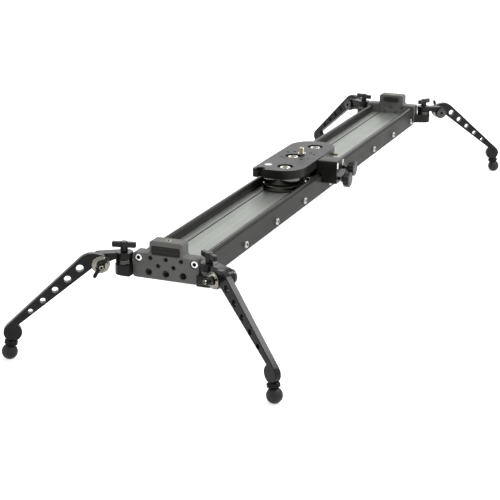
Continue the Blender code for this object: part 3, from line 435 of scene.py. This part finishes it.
def show(name, mesh, body, place):
    """A piece with this mesh, smooth but for its sharp edges, riding on a body."""
    mesh.shade_smooth()
    mesh.set_sharp_from_angle(angle=SHARP_ANGLE)
    obj = bpy.data.objects.new(name, mesh)
    bpy.context.scene.collection.objects.link(obj)
    obj.matrix_world = place
    bpy.context.view_layer.update()
    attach(obj, body)
    return obj


def skin(shape, loops):
    """Walls between the neighbouring loops of a bmesh, and a face across each end."""
    for lower, upper in zip(loops, loops[1:]):
        for i in range(len(lower)):
            j = (i + 1) % len(lower)
            shape.faces.new((lower[i], lower[j], upper[j], upper[i]))
    shape.faces.new(loops[0])
    shape.faces.new(loops[-1])
    return shape


def lathe(rings, sides=48):
    """A bmesh turned about Z through (radius, height) rings.

    A radius is a number or a function of the angle.
    """
    shape = bmesh.new()
    loops = []
    for radius, height in rings:
        if radius == 0:
            loops.append([shape.verts.new((0, 0, height))])
            continue
        loop = []
        for i in range(sides):
            angle = math.tau * i / sides
            reach = radius(angle) if callable(radius) else radius
            loop.append(shape.verts.new((reach * math.cos(angle), reach * math.sin(angle), height)))
        loops.append(loop)
    for lower, upper in zip(loops, loops[1:]):
        for i in range(sides):
            j = (i + 1) % sides
            below = [lower[i % len(lower)], lower[j % len(lower)]]
            above = [upper[j % len(upper)], upper[i % len(upper)]]
            shape.faces.new(list(dict.fromkeys(below + above)))
    if rings[0][0] != 0:
        for i in range(sides):
            j = (i + 1) % sides
            shape.faces.new((loops[-1][i], loops[-1][j], loops[0][j], loops[0][i]))
    return shape


def hexagon(across_flats):
    """Radius of a hexagon at an angle."""
    sector = math.pi / 3

    def reach(angle):
        return across_flats / 2 / math.cos(angle % sector - sector / 2)

    return reach


def knurl(radius, depth, teeth):
    """Radius of a straight-knurled rim at an angle."""

    def reach(angle):
        return radius - depth * abs(math.sin(teeth * angle / 2))

    return reach


def scallops(radius, depth, lobes):
    """Radius of a lobed hand knob's rim at an angle."""

    def reach(angle):
        return radius - depth * (1 - math.cos(lobes * angle)) / 2

    return reach


def rounded_rim(radius, low, high, rounding, steps=4):
    """(radius, height) rings up a rim whose two edges are rounded."""
    rings = []
    for i in range(steps + 1):
        angle = math.pi / 2 * i / steps
        rings.append((radius - rounding * (1 - math.sin(angle)), low + rounding * (1 - math.cos(angle))))
    return rings + [(r, high - (z - low)) for r, z in reversed(rings)]


def threaded(radius, pitch, low, high, sides=24):
    """A bmesh of a stud with a helical thread and a chamfered tip at high."""
    shape = bmesh.new()
    depth = THREAD_DEPTH * pitch
    rows = round((high - low) / pitch * ROWS_TO_A_TURN)
    loops = []
    for row in range(rows + 1):
        height = low + (high - low) * row / rows
        room = min(1.0, (high - height) / pitch + THREAD_TIP)
        loop = []
        for i in range(sides):
            turn = (height / pitch - i / sides) % 1
            reach = min(radius - depth * abs(2 * turn - 1), radius - depth * (1 - room))
            angle = math.tau * i / sides
            loop.append(shape.verts.new((reach * math.cos(angle), reach * math.sin(angle), height)))
        loops.append(loop)
    return skin(shape, loops)


def loft(sections, sides=20):
    """A bmesh through (centre, half width, half thickness) ellipses across X, closed at both ends."""
    shape = bmesh.new()
    loops = []
    for centre, half_width, half_thickness in sections:
        loop = []
        for i in range(sides):
            angle = math.tau * i / sides
            offset = Vector((0, half_thickness * math.cos(angle), half_width * math.sin(angle)))
            loop.append(shape.verts.new(Vector(centre) + offset))
        loops.append(loop)
    return skin(shape, loops)


def slab(half_width, half_height, corner, low, high, break_edge):
    """A rounded rectangle across Z, from low to high, with its upper edge broken."""
    shape = bmesh.new()
    steps = 8
    loops = []
    for height, inset in ((low, 0), (high - break_edge, 0), (high, break_edge)):
        loop = []
        for i in range(4 * (steps + 1)):
            quarter, step = divmod(i, steps + 1)
            angle = math.pi / 2 * (quarter + step / steps)
            x = math.copysign(half_width - corner, (1, -1, -1, 1)[quarter])
            y = math.copysign(half_height - corner, (1, 1, -1, -1)[quarter])
            reach = corner - inset
            loop.append(shape.verts.new((x + reach * math.cos(angle), y + reach * math.sin(angle), height)))
        loops.append(loop)
    return skin(shape, loops)


def cast(name, shapes, voxel, finish):
    """One mesh from overlapping bmeshes, their joints blended as in a casting."""
    mesh = bpy.data.meshes.new(name)
    whole = bmesh.new()
    for shape in shapes:
        bmesh.ops.recalc_face_normals(shape, faces=shape.faces)
        shape.to_mesh(mesh)
        shape.free()
        whole.from_mesh(mesh)
    whole.to_mesh(mesh)
    whole.free()
    blank = bpy.data.objects.new(name, mesh)
    bpy.context.scene.collection.objects.link(blank)
    remesh = blank.modifiers.new("remesh", "REMESH")
    remesh.mode = "VOXEL"
    remesh.voxel_size = voxel
    smooth = blank.modifiers.new("smooth", "SMOOTH")
    smooth.factor = 0.5
    smooth.iterations = 5
    bpy.context.view_layer.update()
    graph = bpy.context.evaluated_depsgraph_get()
    result = bpy.data.meshes.new_from_object(blank.evaluated_get(graph))
    bpy.data.objects.remove(blank)
    result.materials.clear()
    result.materials.append(FINISHES[finish])
    return result


def mesh_of(name, shape, finish):
    """A mesh that several pieces share."""
    bmesh.ops.recalc_face_normals(shape, faces=shape.faces)
    mesh = bpy.data.meshes.new(name)
    shape.to_mesh(mesh)
    shape.free()
    mesh.materials.append(FINISHES[finish])
    return mesh


def at(x, y, z):
    return Matrix.Translation((x, y, z))


FACING = {
    "+X": Matrix.Rotation(math.pi / 2, 4, "Y"),
    "-X": Matrix.Rotation(-math.pi / 2, 4, "Y"),
    "+Y": Matrix.Rotation(-math.pi / 2, 4, "X"),
    "-Y": Matrix.Rotation(math.pi / 2, 4, "X"),
}


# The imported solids

BLASTED = ("carriage_body", "top_plate", "brake_block")


def dress(node, finish):
    """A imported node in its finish, with its edges broken by a small bevel."""
    obj = nodes[node]
    mesh = obj.data
    mesh.materials.clear()
    mesh.materials.append(FINISHES[finish])
    if "custom_normal" in mesh.attributes:
        mesh.attributes.remove(mesh.attributes["custom_normal"])
    mesh.shade_smooth()
    weld = obj.modifiers.new("weld", "WELD")
    weld.merge_threshold = WELD_DISTANCE
    edges = obj.modifiers.new("edges", "BEVEL")
    edges.width = EDGE_BREAK
    edges.segments = 2
    edges.limit_method = "ANGLE"
    edges.angle_limit = SHARP_ANGLE
    edges.harden_normals = True


def dress_all():
    for entry in frame["record"]["subparts"]:
        node = entry["node"]
        finish = "blasted_black" if node in BLASTED else entry["material_slot"]
        dress(node, finish)
    # Painted shade: the bed's silver darkened below its top, inside the grooves.
    bed_top = nodes["bed_extrusion"].matrix_world.inverted() @ Vector(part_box("bed_extrusion")[1])
    shade_below(FINISHES["silver_anodised"], bed_top.z - EDGE_BREAK)


# Screws


def socket_head(size):
    """A screw head standing on z = 0, with a hexagon socket in its top."""
    socket = hexagon(size.across_flats)
    floor = size.height - size.socket_depth
    edge = size.rounding
    midway = 0.3 * edge
    rings = [(0, 0), (size.radius, 0), (size.radius, size.height - edge)]
    rings += [(size.radius - midway, size.height - midway), (size.radius - edge, size.height)]
    rings += [(socket, size.height), (socket, floor), (0, floor)]
    return lathe(rings)


def socket_shade_cup(across_flats, depth, top):
    """Painted shade: a thin black cup inside a hexagon socket that ends at top."""
    outer = hexagon(across_flats - 2 * SHADE_CUP_PLAY)
    inner = hexagon(across_flats - 2 * (SHADE_CUP_PLAY + SHADE_CUP_WALL))
    low = top - depth + SHADE_CUP_PLAY
    high = top - SHADE_CUP_SINK
    sill = low + SHADE_CUP_WALL
    return lathe([(0, low), (outer, low), (outer, high), (inner, high), (inner, sill), (0, sill)])


# Painted shade for the hexagon socket in a screw head.
def head_shade_cup(size):
    return socket_shade_cup(size.across_flats, size.socket_depth, size.height)


def ring_of(outer, inner, low, high, break_edge=RING_EDGE):
    """A flat ring with its outer edges broken."""
    rings = [
        (inner, low),
        (outer - break_edge, low),
        (outer, low + break_edge),
        (outer, high - break_edge),
        (outer - break_edge, high),
        (inner, high),
    ]
    return lathe(rings)


def add_side_screws():
    head = mesh_of("side_screw", socket_head(SIDE_SCREW), "shaded_screw_steel")
    # Painted shade: a black cup in each side screw's socket.
    shade_cup = mesh_of("side_shade_cup", head_shade_cup(SIDE_SCREW), "stud_black")
    first = -SIDE_SCREW_PITCH * (SIDE_SCREWS - 1) / 2
    for side, sign, facing in (("left", 1, "+Y"), ("right", -1, "-Y")):
        for i in range(SIDE_SCREWS):
            spot = at(first + i * SIDE_SCREW_PITCH, sign * RAIL_SIDE_Y, ROD_Z - SIDE_SCREW_DROP)
            show(f"side_screw_{side}_{i + 1}", head, "rail", spot @ FACING[facing])
            show(f"side_shade_cup_{side}_{i + 1}", shade_cup, "rail", spot @ FACING[facing])


def panel_mesh():
    """The bare plate in an end plate's recess."""
    shape = slab(
        RECESS_HALF_WIDTH - PANEL_MARGIN,
        RECESS_HALF_HEIGHT - PANEL_MARGIN,
        RECESS_CORNER - PANEL_MARGIN,
        0,
        RECESS_DEPTH - PANEL_MARGIN,
        EDGE_BREAK,
    )
    return mesh_of("bare_panel", shape, "dark_anodised")


def add_end_fasteners():
    """The bolts, thread insert and bare panel of each end plate."""
    bolt = mesh_of("end_bolt", socket_head(END_BOLT), "stainless_steel")
    # Painted shade: a black cup in each end bolt's socket.
    shade_cup = mesh_of("end_shade_cup", head_shade_cup(END_BOLT), "stud_black")
    insert = ring_of(INSERT_RADIUS, INSERT_BORE, -INSERT_DEPTH, INSERT_RISE)
    insert = mesh_of("insert", insert, "zinc_yellow")
    panel = panel_mesh()
    upright = Matrix.Rotation(math.pi / 2, 4, "Z")
    for end, sign, facing in (("near", -1, "-X"), ("far", 1, "+X")):
        for side, y in (("left", ROD_Y), ("right", -ROD_Y)):
            spot = at(sign * (PLATE_OUTER_X - END_BOLT_SINK), y, ROD_Z) @ FACING[facing]
            show(f"end_bolt_{end}_{side}", bolt, "rail", spot)
            show(f"end_shade_cup_{end}_{side}", shade_cup, "rail", spot)
        show(f"thread_insert_{end}", insert, "rail", at(sign * HUMP_X, 0, HUMP_TOP_Z))
        spot = at(sign * (PLATE_OUTER_X - RECESS_DEPTH), 0, ROD_Z + RECESS_RISE)
        show(f"bare_panel_{end}", panel, "rail", spot @ FACING[facing] @ upright)


def add_plate_bolts():
    washer = ring_of(WASHER_RADIUS, WASHER_BORE, 0, WASHER_THICKNESS, WASHER_EDGE)
    washer = mesh_of("plate_washer", washer, "stainless_steel")
    head = mesh_of("plate_bolt", socket_head(PLATE_BOLT), "zinc_yellow")
    for i, (x, y) in enumerate(PLATE_BOLTS, 1):
        spot = at(CARRIAGE_X + x, y, DECK_TOP_Z - PLATE_BOLT_SINK)
        show(f"plate_washer_{i}", washer, "carriage", spot)
        show(f"plate_bolt_{i}", head, "carriage", spot)


def add_plug_and_pins():
    """The round plug in the top plate, the brake block's two pins and the plate's set screw."""
    rim = rounded_rim(PLUG_RADIUS, -PLUG_SINK, PLUG_RISE, EDGE_BREAK)
    plug = lathe([(0, -PLUG_SINK), *rim, (0, PLUG_RISE)], sides=40)
    plug = mesh_of("level_plug", plug, "stainless_steel")
    x, y = PLUG_PLACE
    show("level_plug", plug, "carriage", at(CARRIAGE_X + x, y, DECK_TOP_Z))
    rim = rounded_rim(DOWEL_RADIUS, 0, DOWEL_LENGTH, DOWEL_ROUNDING)
    dowel = mesh_of("dowel", lathe([(0, 0), *rim, (0, DOWEL_LENGTH)], sides=24), "stainless_steel")
    for i, x in enumerate(DOWELS_X, 1):
        show(f"dowel_{i}", dowel, "carriage", at(CARRIAGE_X + x, BLOCK_SIDE_Y, ROD_Z + DOWEL_RISE))
    screw = mesh_of("set_screw", socket_head(SET_SCREW), "zinc_yellow")
    spot = at(CARRIAGE_X + SET_SCREW_X, PLATE_SIDE_Y + SET_SCREW_SINK, ROD_Z + SET_SCREW_RISE)
    show("set_screw", screw, "carriage", spot @ FACING["-Y"])


# Turned pieces of the carriage


def pod_ring_mesh(name, span, rounding):
    low, high = span
    inner = POD_RADIUS - POD_WALL
    rim = rounded_rim(POD_RADIUS, low, high, rounding)
    return mesh_of(name, lathe([(inner, low), *rim, (inner, high)], sides=128), "polished_ring")


def add_pod_rings():
    """The polished band and flange round each of the carriage's feet."""
    band = pod_ring_mesh("pod_band", POD_BAND, POD_BAND_ROUNDING)
    flange = pod_ring_mesh("pod_flange", POD_FLANGE, POD_FLANGE_ROUNDING)
    for end, sign in (("near", -1), ("far", 1)):
        spot = at(CARRIAGE_X + sign * POD_OFFSET, 0, ROD_Z)
        show(f"pod_band_{end}", band, "carriage", spot)
        show(f"pod_flange_{end}", flange, "carriage", spot)


def add_camera_screw():
    low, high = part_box("camera_screw")
    stud = threaded(CAMERA_STUD_RADIUS, CAMERA_STUD_PITCH, low[2], high[2], sides=36)
    stud = mesh_of("camera_stud", stud, "zinc_yellow")
    collar = ring_of(COLLAR_RADIUS, COLLAR_BORE, DECK_TOP_Z - COLLAR_HEIGHT, DECK_TOP_Z)
    collar = mesh_of("camera_collar", collar, "stainless_steel")
    spot = at(CAMERA_SCREW.x, CAMERA_SCREW.y, 0)
    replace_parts(show("camera_stud", stud, "camera_screw", spot), "camera_screw")
    show("camera_collar", collar, "camera_screw", spot)


def add_knob(name):
    """A fluted hand knob on its shaft, along -Y, with a bright sleeve behind it."""
    axis = Vector(joints[f"{name}_turn"]["pos_m"])
    tip = -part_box(name)[1][1]
    base = KNOB_STAND - BLOCK_SIDE_Y
    top = base + KNOB_THICKNESS
    collar = base - KNOB_COLLAR
    rim = []
    for radius, height in rounded_rim(KNOB_RADIUS, base, top, KNOB_ROUNDING, steps=5):
        rim.append((scallops(radius, KNOB_LOBE, KNOB_LOBES), height))
    dish = KNOB_RADIUS * KNOB_DISH_SHARE
    dish_floor = top - KNOB_DISH_DEPTH
    inset, rise = KNOB_COLLAR_CHAMFER
    rings = [(0, collar), (KNOB_COLLAR_RADIUS - inset, collar), (KNOB_COLLAR_RADIUS, collar + rise)]
    rings += [(KNOB_COLLAR_RADIUS, base), *rim, (dish, top)]
    rings += [(dish - KNOB_DISH_SLOPE, dish_floor), (0, dish_floor)]
    grip = mesh_of(f"{name}_grip", lathe(rings, sides=144), "black_plastic")
    cap_low = dish_floor - CAP_SINK
    cap_high = top - CAP_SINK
    cap_rim = rounded_rim(dish - CAP_MARGIN, cap_low, cap_high, CAP_ROUNDING)
    cap = mesh_of(f"{name}_cap", lathe([(0, cap_low), *cap_rim, (0, cap_high)]), "black_plastic")
    shaft = threaded(SHAFT_RADIUS, METRIC_PITCH, tip, collar + SHAFT_OVERLAP)
    shaft = mesh_of(f"{name}_shaft", shaft, "stud_black")
    sleeve = ring_of(SHAFT_RADIUS + SLEEVE_WALL, SHAFT_RADIUS, collar - SLEEVE_LENGTH, collar)
    sleeve = mesh_of(f"{name}_sleeve", sleeve, "nickel_plate")
    spot = at(axis.x, 0, axis.z) @ FACING["-Y"]
    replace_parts(show(f"{name}_grip", grip, name, spot), name)
    for kind, mesh in (("cap", cap), ("shaft", shaft), ("sleeve", sleeve)):
        show(f"{name}_{kind}", mesh, name, spot)


# Legs


class Leg:
    """Where a leg stands: a frame on its pivot at rod height, with X out along the leg."""

    def __init__(self, name):
        pivot = Vector(joints[f"leg_swivel_{name}"]["pos_m"])
        hinge = Vector(joints[f"leg_tilt_{name}"]["pos_m"])
        out = Vector((hinge.x - pivot.x, hinge.y - pivot.y, 0)).normalized()
        across = Vector((-out.y, out.x, 0))
        self.hand = 1 if (middle(f"wing_nut_{name}") - hinge).dot(across) > 0 else -1
        turn = Matrix.Rotation(math.atan2(out.y, out.x), 4, "Z")
        self.name = name
        self.pivot = at(pivot.x, pivot.y, ROD_Z) @ turn
        self.hinge = at(*hinge) @ turn @ FACING["+Y" if self.hand > 0 else "-Y"]
        ball = middle(f"ball_foot_{name}")
        self.foot = at(ball.x, ball.y, BALL_CENTRE_Z) @ turn @ Matrix.Rotation(-FOOT_LEAN, 4, "Y")

    def add(self, kind, mesh, body, place, replaced=None):
        """A piece of this leg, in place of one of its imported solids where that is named."""
        rides_on = body if body == "rail" else f"{body}_{self.name}"
        obj = show(f"{kind}_{self.name}", mesh, rides_on, place)
        if replaced:
            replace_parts(obj, f"{replaced}_{self.name}")


def ball_mesh():
    """The rubber ball about its middle, with a flat on the floor, and how far up the leaning stud it goes."""
    top = math.sqrt(BALL_RADIUS**2 - BALL_NECK_RADIUS**2)
    end = math.asin(top / BALL_RADIUS)
    rings = [(0, -BALL_RADIUS)]
    steps = 32
    for i in range(1, steps + 1):
        angle = -math.pi / 2 + (end + math.pi / 2) * i / steps
        rings.append((BALL_RADIUS * math.cos(angle), BALL_RADIUS * math.sin(angle)))
    seat = top - BALL_SEAT
    inset, rise = BALL_LIP
    rings += [(BALL_NECK_RADIUS - inset, top + rise), (BALL_BORE, seat), (0, seat)]
    shape = lathe(rings)
    lean = Matrix.Rotation(-FOOT_LEAN, 3, "Y")
    for vert in shape.verts:
        spot = lean @ vert.co
        spot.z = max(spot.z, -BALL_CENTRE_Z)
        vert.co = lean.inverted() @ spot
    return mesh_of("ball", shape, "black_rubber"), top


def lock_nut_mesh(ball_top):
    """The knurled nut above the ball, with a groove round its middle, and the height of its top."""
    low = ball_top + GAP
    high = low + NUT_HEIGHT
    rim = knurl(NUT_RADIUS, NUT_KNURL, NUT_TEETH)
    inset, rise = NUT_CHAMFER
    lower = [(NUT_BORE, low), (NUT_RADIUS - inset, low), (NUT_RADIUS - NUT_KNURL, low + rise)]
    lower += [(rim, low + height) for height in NUT_BAND]
    inset, rise = NUT_GROOVE
    lower.append((NUT_RADIUS - inset, low + rise))
    rings = lower + [(radius, low + high - height) for radius, height in reversed(lower)]
    return mesh_of("lock_nut", lathe(rings, sides=160), "stud_black"), high


def stud_mesh(low, high):
    return mesh_of("foot_thread", threaded(STUD_RADIUS, METRIC_PITCH, low, high), "stud_black")


def wing_nut_mesh():
    """A two-winged clamp nut from z = 0 up, its wings along X and swept upwards."""
    bore = BOLT_RADIUS + GAP
    hub = [(bore, 0), *WING_HUB, WING_HUB_TOP, (bore, WING_HUB_TOP[1])]
    shapes = [lathe(hub, sides=40)]
    for sign in (1, -1):
        sections = []
        for along, height, half_width, half_thickness in WING_STATIONS:
            sections.append(((sign * along, 0, height), half_width, half_thickness))
        shapes.append(loft(sections))
    return cast("wing_nut", shapes, WING_VOXEL, "black_anodised")


def friction_disc_mesh():
    """A dished disc turned from nickel-plated steel, on z = 0."""
    bore = BOLT_RADIUS + GAP
    rim = [(DISC_RADIUS - inset, height) for inset, height in DISC_RIM]
    rings = [(bore, 0), *rim, (DISC_FACE_RADIUS, DISC_THICKNESS), (bore, DISC_THICKNESS)]
    return mesh_of("friction_disc", lathe(rings, sides=64), "nickel_plate")


def hinge_end_mesh():
    """The hinge bolt's shank and its end in the wing nut, with a socket to hold it by."""
    low = -ARM_BACK - GAP
    socket = hexagon(END_SOCKET)
    floor = BOLT_END - END_SOCKET_DEPTH
    inset, drop = BOLT_END_CHAMFER
    rings = [(0, low), (BOLT_RADIUS, low), (BOLT_RADIUS, BOLT_END - drop)]
    rings += [(BOLT_RADIUS - inset, BOLT_END), (socket, BOLT_END), (socket, floor), (0, floor)]
    return mesh_of("hinge_end", lathe(rings, sides=36), "nickel_plate")


def spacer_mesh():
    """The plated ring between bracket and arm, with a groove turned round it."""
    middle_z = (SPACER_BOTTOM + SPACER_TOP) / 2
    inner = BOLT_RADIUS + GAP
    rings = [(inner, SPACER_BOTTOM), (SPACER_RADIUS - RING_EDGE, SPACER_BOTTOM)]
    rings.append((SPACER_RADIUS, SPACER_BOTTOM + RING_EDGE))
    rings.append((SPACER_RADIUS, middle_z - SPACER_GROOVE_HALF_MOUTH))
    rings.append((SPACER_RADIUS - SPACER_GROOVE_DEPTH, middle_z - SPACER_GROOVE_HALF_FLOOR))
    rings += [(r, 2 * middle_z - z) for r, z in reversed(rings)]
    return mesh_of("spacer", lathe(rings), "shaded_nickel")


def add_legs():
    ball, ball_top = ball_mesh()
    nut, nut_top = lock_nut_mesh(ball_top)
    stud = stud_mesh(ball_top - BALL_SEAT, nut_top + STUD_ABOVE)
    wing_nut = wing_nut_mesh()
    disc = friction_disc_mesh()
    head = mesh_of("hinge_head", socket_head(BOLT_HEAD), "shaded_nickel")
    end = hinge_end_mesh()
    spacer = spacer_mesh()
    # Painted shade: black cups in the sockets at both ends of the hinge bolt.
    hinge_end_shade_cup = mesh_of("hinge_shade_cup", socket_shade_cup(END_SOCKET, END_SOCKET_DEPTH, BOLT_END), "stud_black")
    hinge_head_shade_cup = mesh_of("head_shade_cup", head_shade_cup(BOLT_HEAD), "stud_black")
    inside = at(0, 0, -ARM_BACK - GAP) @ Matrix.Rotation(math.pi, 4, "X")
    for name in LEGS:
        leg = Leg(name)
        leg.add("rubber_ball", ball, "foot", leg.foot, "ball_foot")
        leg.add("lock_nut", nut, "foot", leg.foot, "foot_stud")
        leg.add("foot_thread", stud, "foot", leg.foot)
        wing_turn = Matrix.Rotation(-leg.hand * math.radians(WING_ANGLES[name]), 4, "Z")
        wings = leg.hinge @ at(0, 0, WING_INNER) @ wing_turn
        leg.add("clamp_wing", wing_nut, "wing_nut", wings, "wing_nut")
        leg.add("clamp_disc", disc, "leg", leg.hinge @ at(0, 0, DISC_INNER), "friction_disc")
        leg.add("hinge_head", head, "swivel", leg.hinge @ inside, "hinge_bolt")
        leg.add("hinge_end", end, "swivel", leg.hinge)
        leg.add("hinge_shade_cup", hinge_end_shade_cup, "swivel", leg.hinge)
        leg.add("head_shade_cup", hinge_head_shade_cup, "swivel", leg.hinge @ inside)
        leg.add("spacer_ring", spacer, "rail", leg.pivot, "pivot_spacer")


# Light, floor and camera

FILL_COLOUR = (1, 0.995, 0.97, 1)
FILL_STRENGTH = 0.35
FLOOR_HALF_SIZE = 30
FLOOR_COLOUR = (0.9, 0.9, 0.9, 1)
FLOOR_GLOW = 0.62


def backdrop_shader(tree, lit, glow):
    """Mixes a lit shader with a white glow seen by the camera and in reflections."""
    path = tree.nodes.new("ShaderNodeLightPath")
    either = tree.nodes.new("ShaderNodeMath")
    either.operation = "MAXIMUM"
    both = tree.nodes.new("ShaderNodeMath")
    both.operation = "MAXIMUM"
    tree.links.new(path.outputs["Is Camera Ray"], either.inputs[0])
    tree.links.new(path.outputs["Is Glossy Ray"], either.inputs[1])
    tree.links.new(either.outputs[0], both.inputs[0])
    tree.links.new(path.outputs["Is Transmission Ray"], both.inputs[1])
    mix = tree.nodes.new("ShaderNodeMixShader")
    tree.links.new(both.outputs[0], mix.inputs["Fac"])
    tree.links.new(lit, mix.inputs[1])
    tree.links.new(glow, mix.inputs[2])
    return mix.outputs[0]


def add_world():
    world = bpy.data.worlds.new("studio")
    bpy.context.scene.world = world
    world.use_nodes = True
    tree = world.node_tree
    fill = tree.nodes["Background"]
    fill.inputs["Color"].default_value = FILL_COLOUR
    fill.inputs["Strength"].default_value = FILL_STRENGTH
    white = tree.nodes.new("ShaderNodeBackground")
    white.inputs["Color"].default_value = (1, 1, 1, 1)
    white.inputs["Strength"].default_value = 1.0
    mixed = backdrop_shader(tree, fill.outputs[0], white.outputs[0])
    tree.links.new(mixed, tree.nodes["World Output"].inputs["Surface"])


def add_floor():
    shape = bmesh.new()
    bmesh.ops.create_grid(shape, x_segments=1, y_segments=1, size=FLOOR_HALF_SIZE)
    mesh = bpy.data.meshes.new("floor")
    shape.to_mesh(mesh)
    shape.free()
    material = bpy.data.materials.new("white_floor")
    material.use_nodes = True
    tree = material.node_tree
    tree.nodes.remove(tree.nodes["Principled BSDF"])
    matt = tree.nodes.new("ShaderNodeBsdfDiffuse")
    matt.inputs["Color"].default_value = FLOOR_COLOUR
    glow = tree.nodes.new("ShaderNodeEmission")
    glow.inputs["Strength"].default_value = FLOOR_GLOW
    lit = tree.nodes.new("ShaderNodeAddShader")
    tree.links.new(matt.outputs[0], lit.inputs[0])
    tree.links.new(glow.outputs[0], lit.inputs[1])
    mixed = backdrop_shader(tree, matt.outputs[0], lit.outputs[0])
    tree.links.new(mixed, tree.nodes["Material Output"].inputs["Surface"])
    mesh.materials.append(material)
    floor = bpy.data.objects.new("floor", mesh)
    bpy.context.scene.collection.objects.link(floor)


def add_lamp(name, place, aim, size, power):
    """A softbox of this size in metres and power in watts."""
    data = bpy.data.lights.new(name, "AREA")
    data.shape = "RECTANGLE"
    data.size, data.size_y = size
    data.energy = power
    lamp = bpy.data.objects.new(name, data)
    lamp.location = place
    lamp.rotation_euler = (Vector(aim) - Vector(place)).to_track_quat("-Z", "Y").to_euler()
    lamp.visible_camera = False
    bpy.context.scene.collection.objects.link(lamp)


def add_lamps():
    add_lamp("key_softbox", (0.29, -1.38, 2.0), (-0.57, -0.16, 0.06), (0.8, 1.15), 42)
    add_lamp("top_softbox", (0.2, 0.5, 2.4), (0, 0, 0), (2.6, 1.6), 14)
    add_lamp("back_softbox", (3.0, 1.0, 1.3), (0, 0, 0.1), (2.4, 1.0), 7)
    add_lamp("left_softbox", (-1.6, 1.9, 1.3), (0, 0, 0.1), (1.2, 1.2), 9)
    add_lamp("right_softbox", (-0.8, -2.4, 1.0), (0, 0, 0.1), (1.6, 1.0), 5)


def add_camera():
    level = math.cos(CAMERA_ELEVATION)
    back = Vector((
        math.sin(CAMERA_AZIMUTH) * level,
        -math.cos(CAMERA_AZIMUTH) * level,
        math.sin(CAMERA_ELEVATION),
    ))
    data = bpy.data.cameras.new("camera")
    data.lens = CAMERA_LENS
    data.sensor_width = SENSOR
    camera = bpy.data.objects.new("camera", data)
    camera.location = CAMERA_TARGET + back * CAMERA_DISTANCE
    upright = (-back).to_track_quat("-Z", "Y")
    camera.rotation_mode = "QUATERNION"
    camera.rotation_quaternion = upright @ Matrix.Rotation(CAMERA_ROLL, 3, "Z").to_quaternion()
    bpy.context.scene.collection.objects.link(camera)
    bpy.context.scene.camera = camera


bpy.context.scene.view_settings.view_transform = "Standard"
dress_all()
add_side_screws()
add_end_fasteners()
add_plate_bolts()
add_plug_and_pins()
add_pod_rings()
add_camera_screw()
add_knob("brake_knob")
add_knob("clamp_knob")
add_legs()
add_world()
add_floor()
add_lamps()
add_camera()
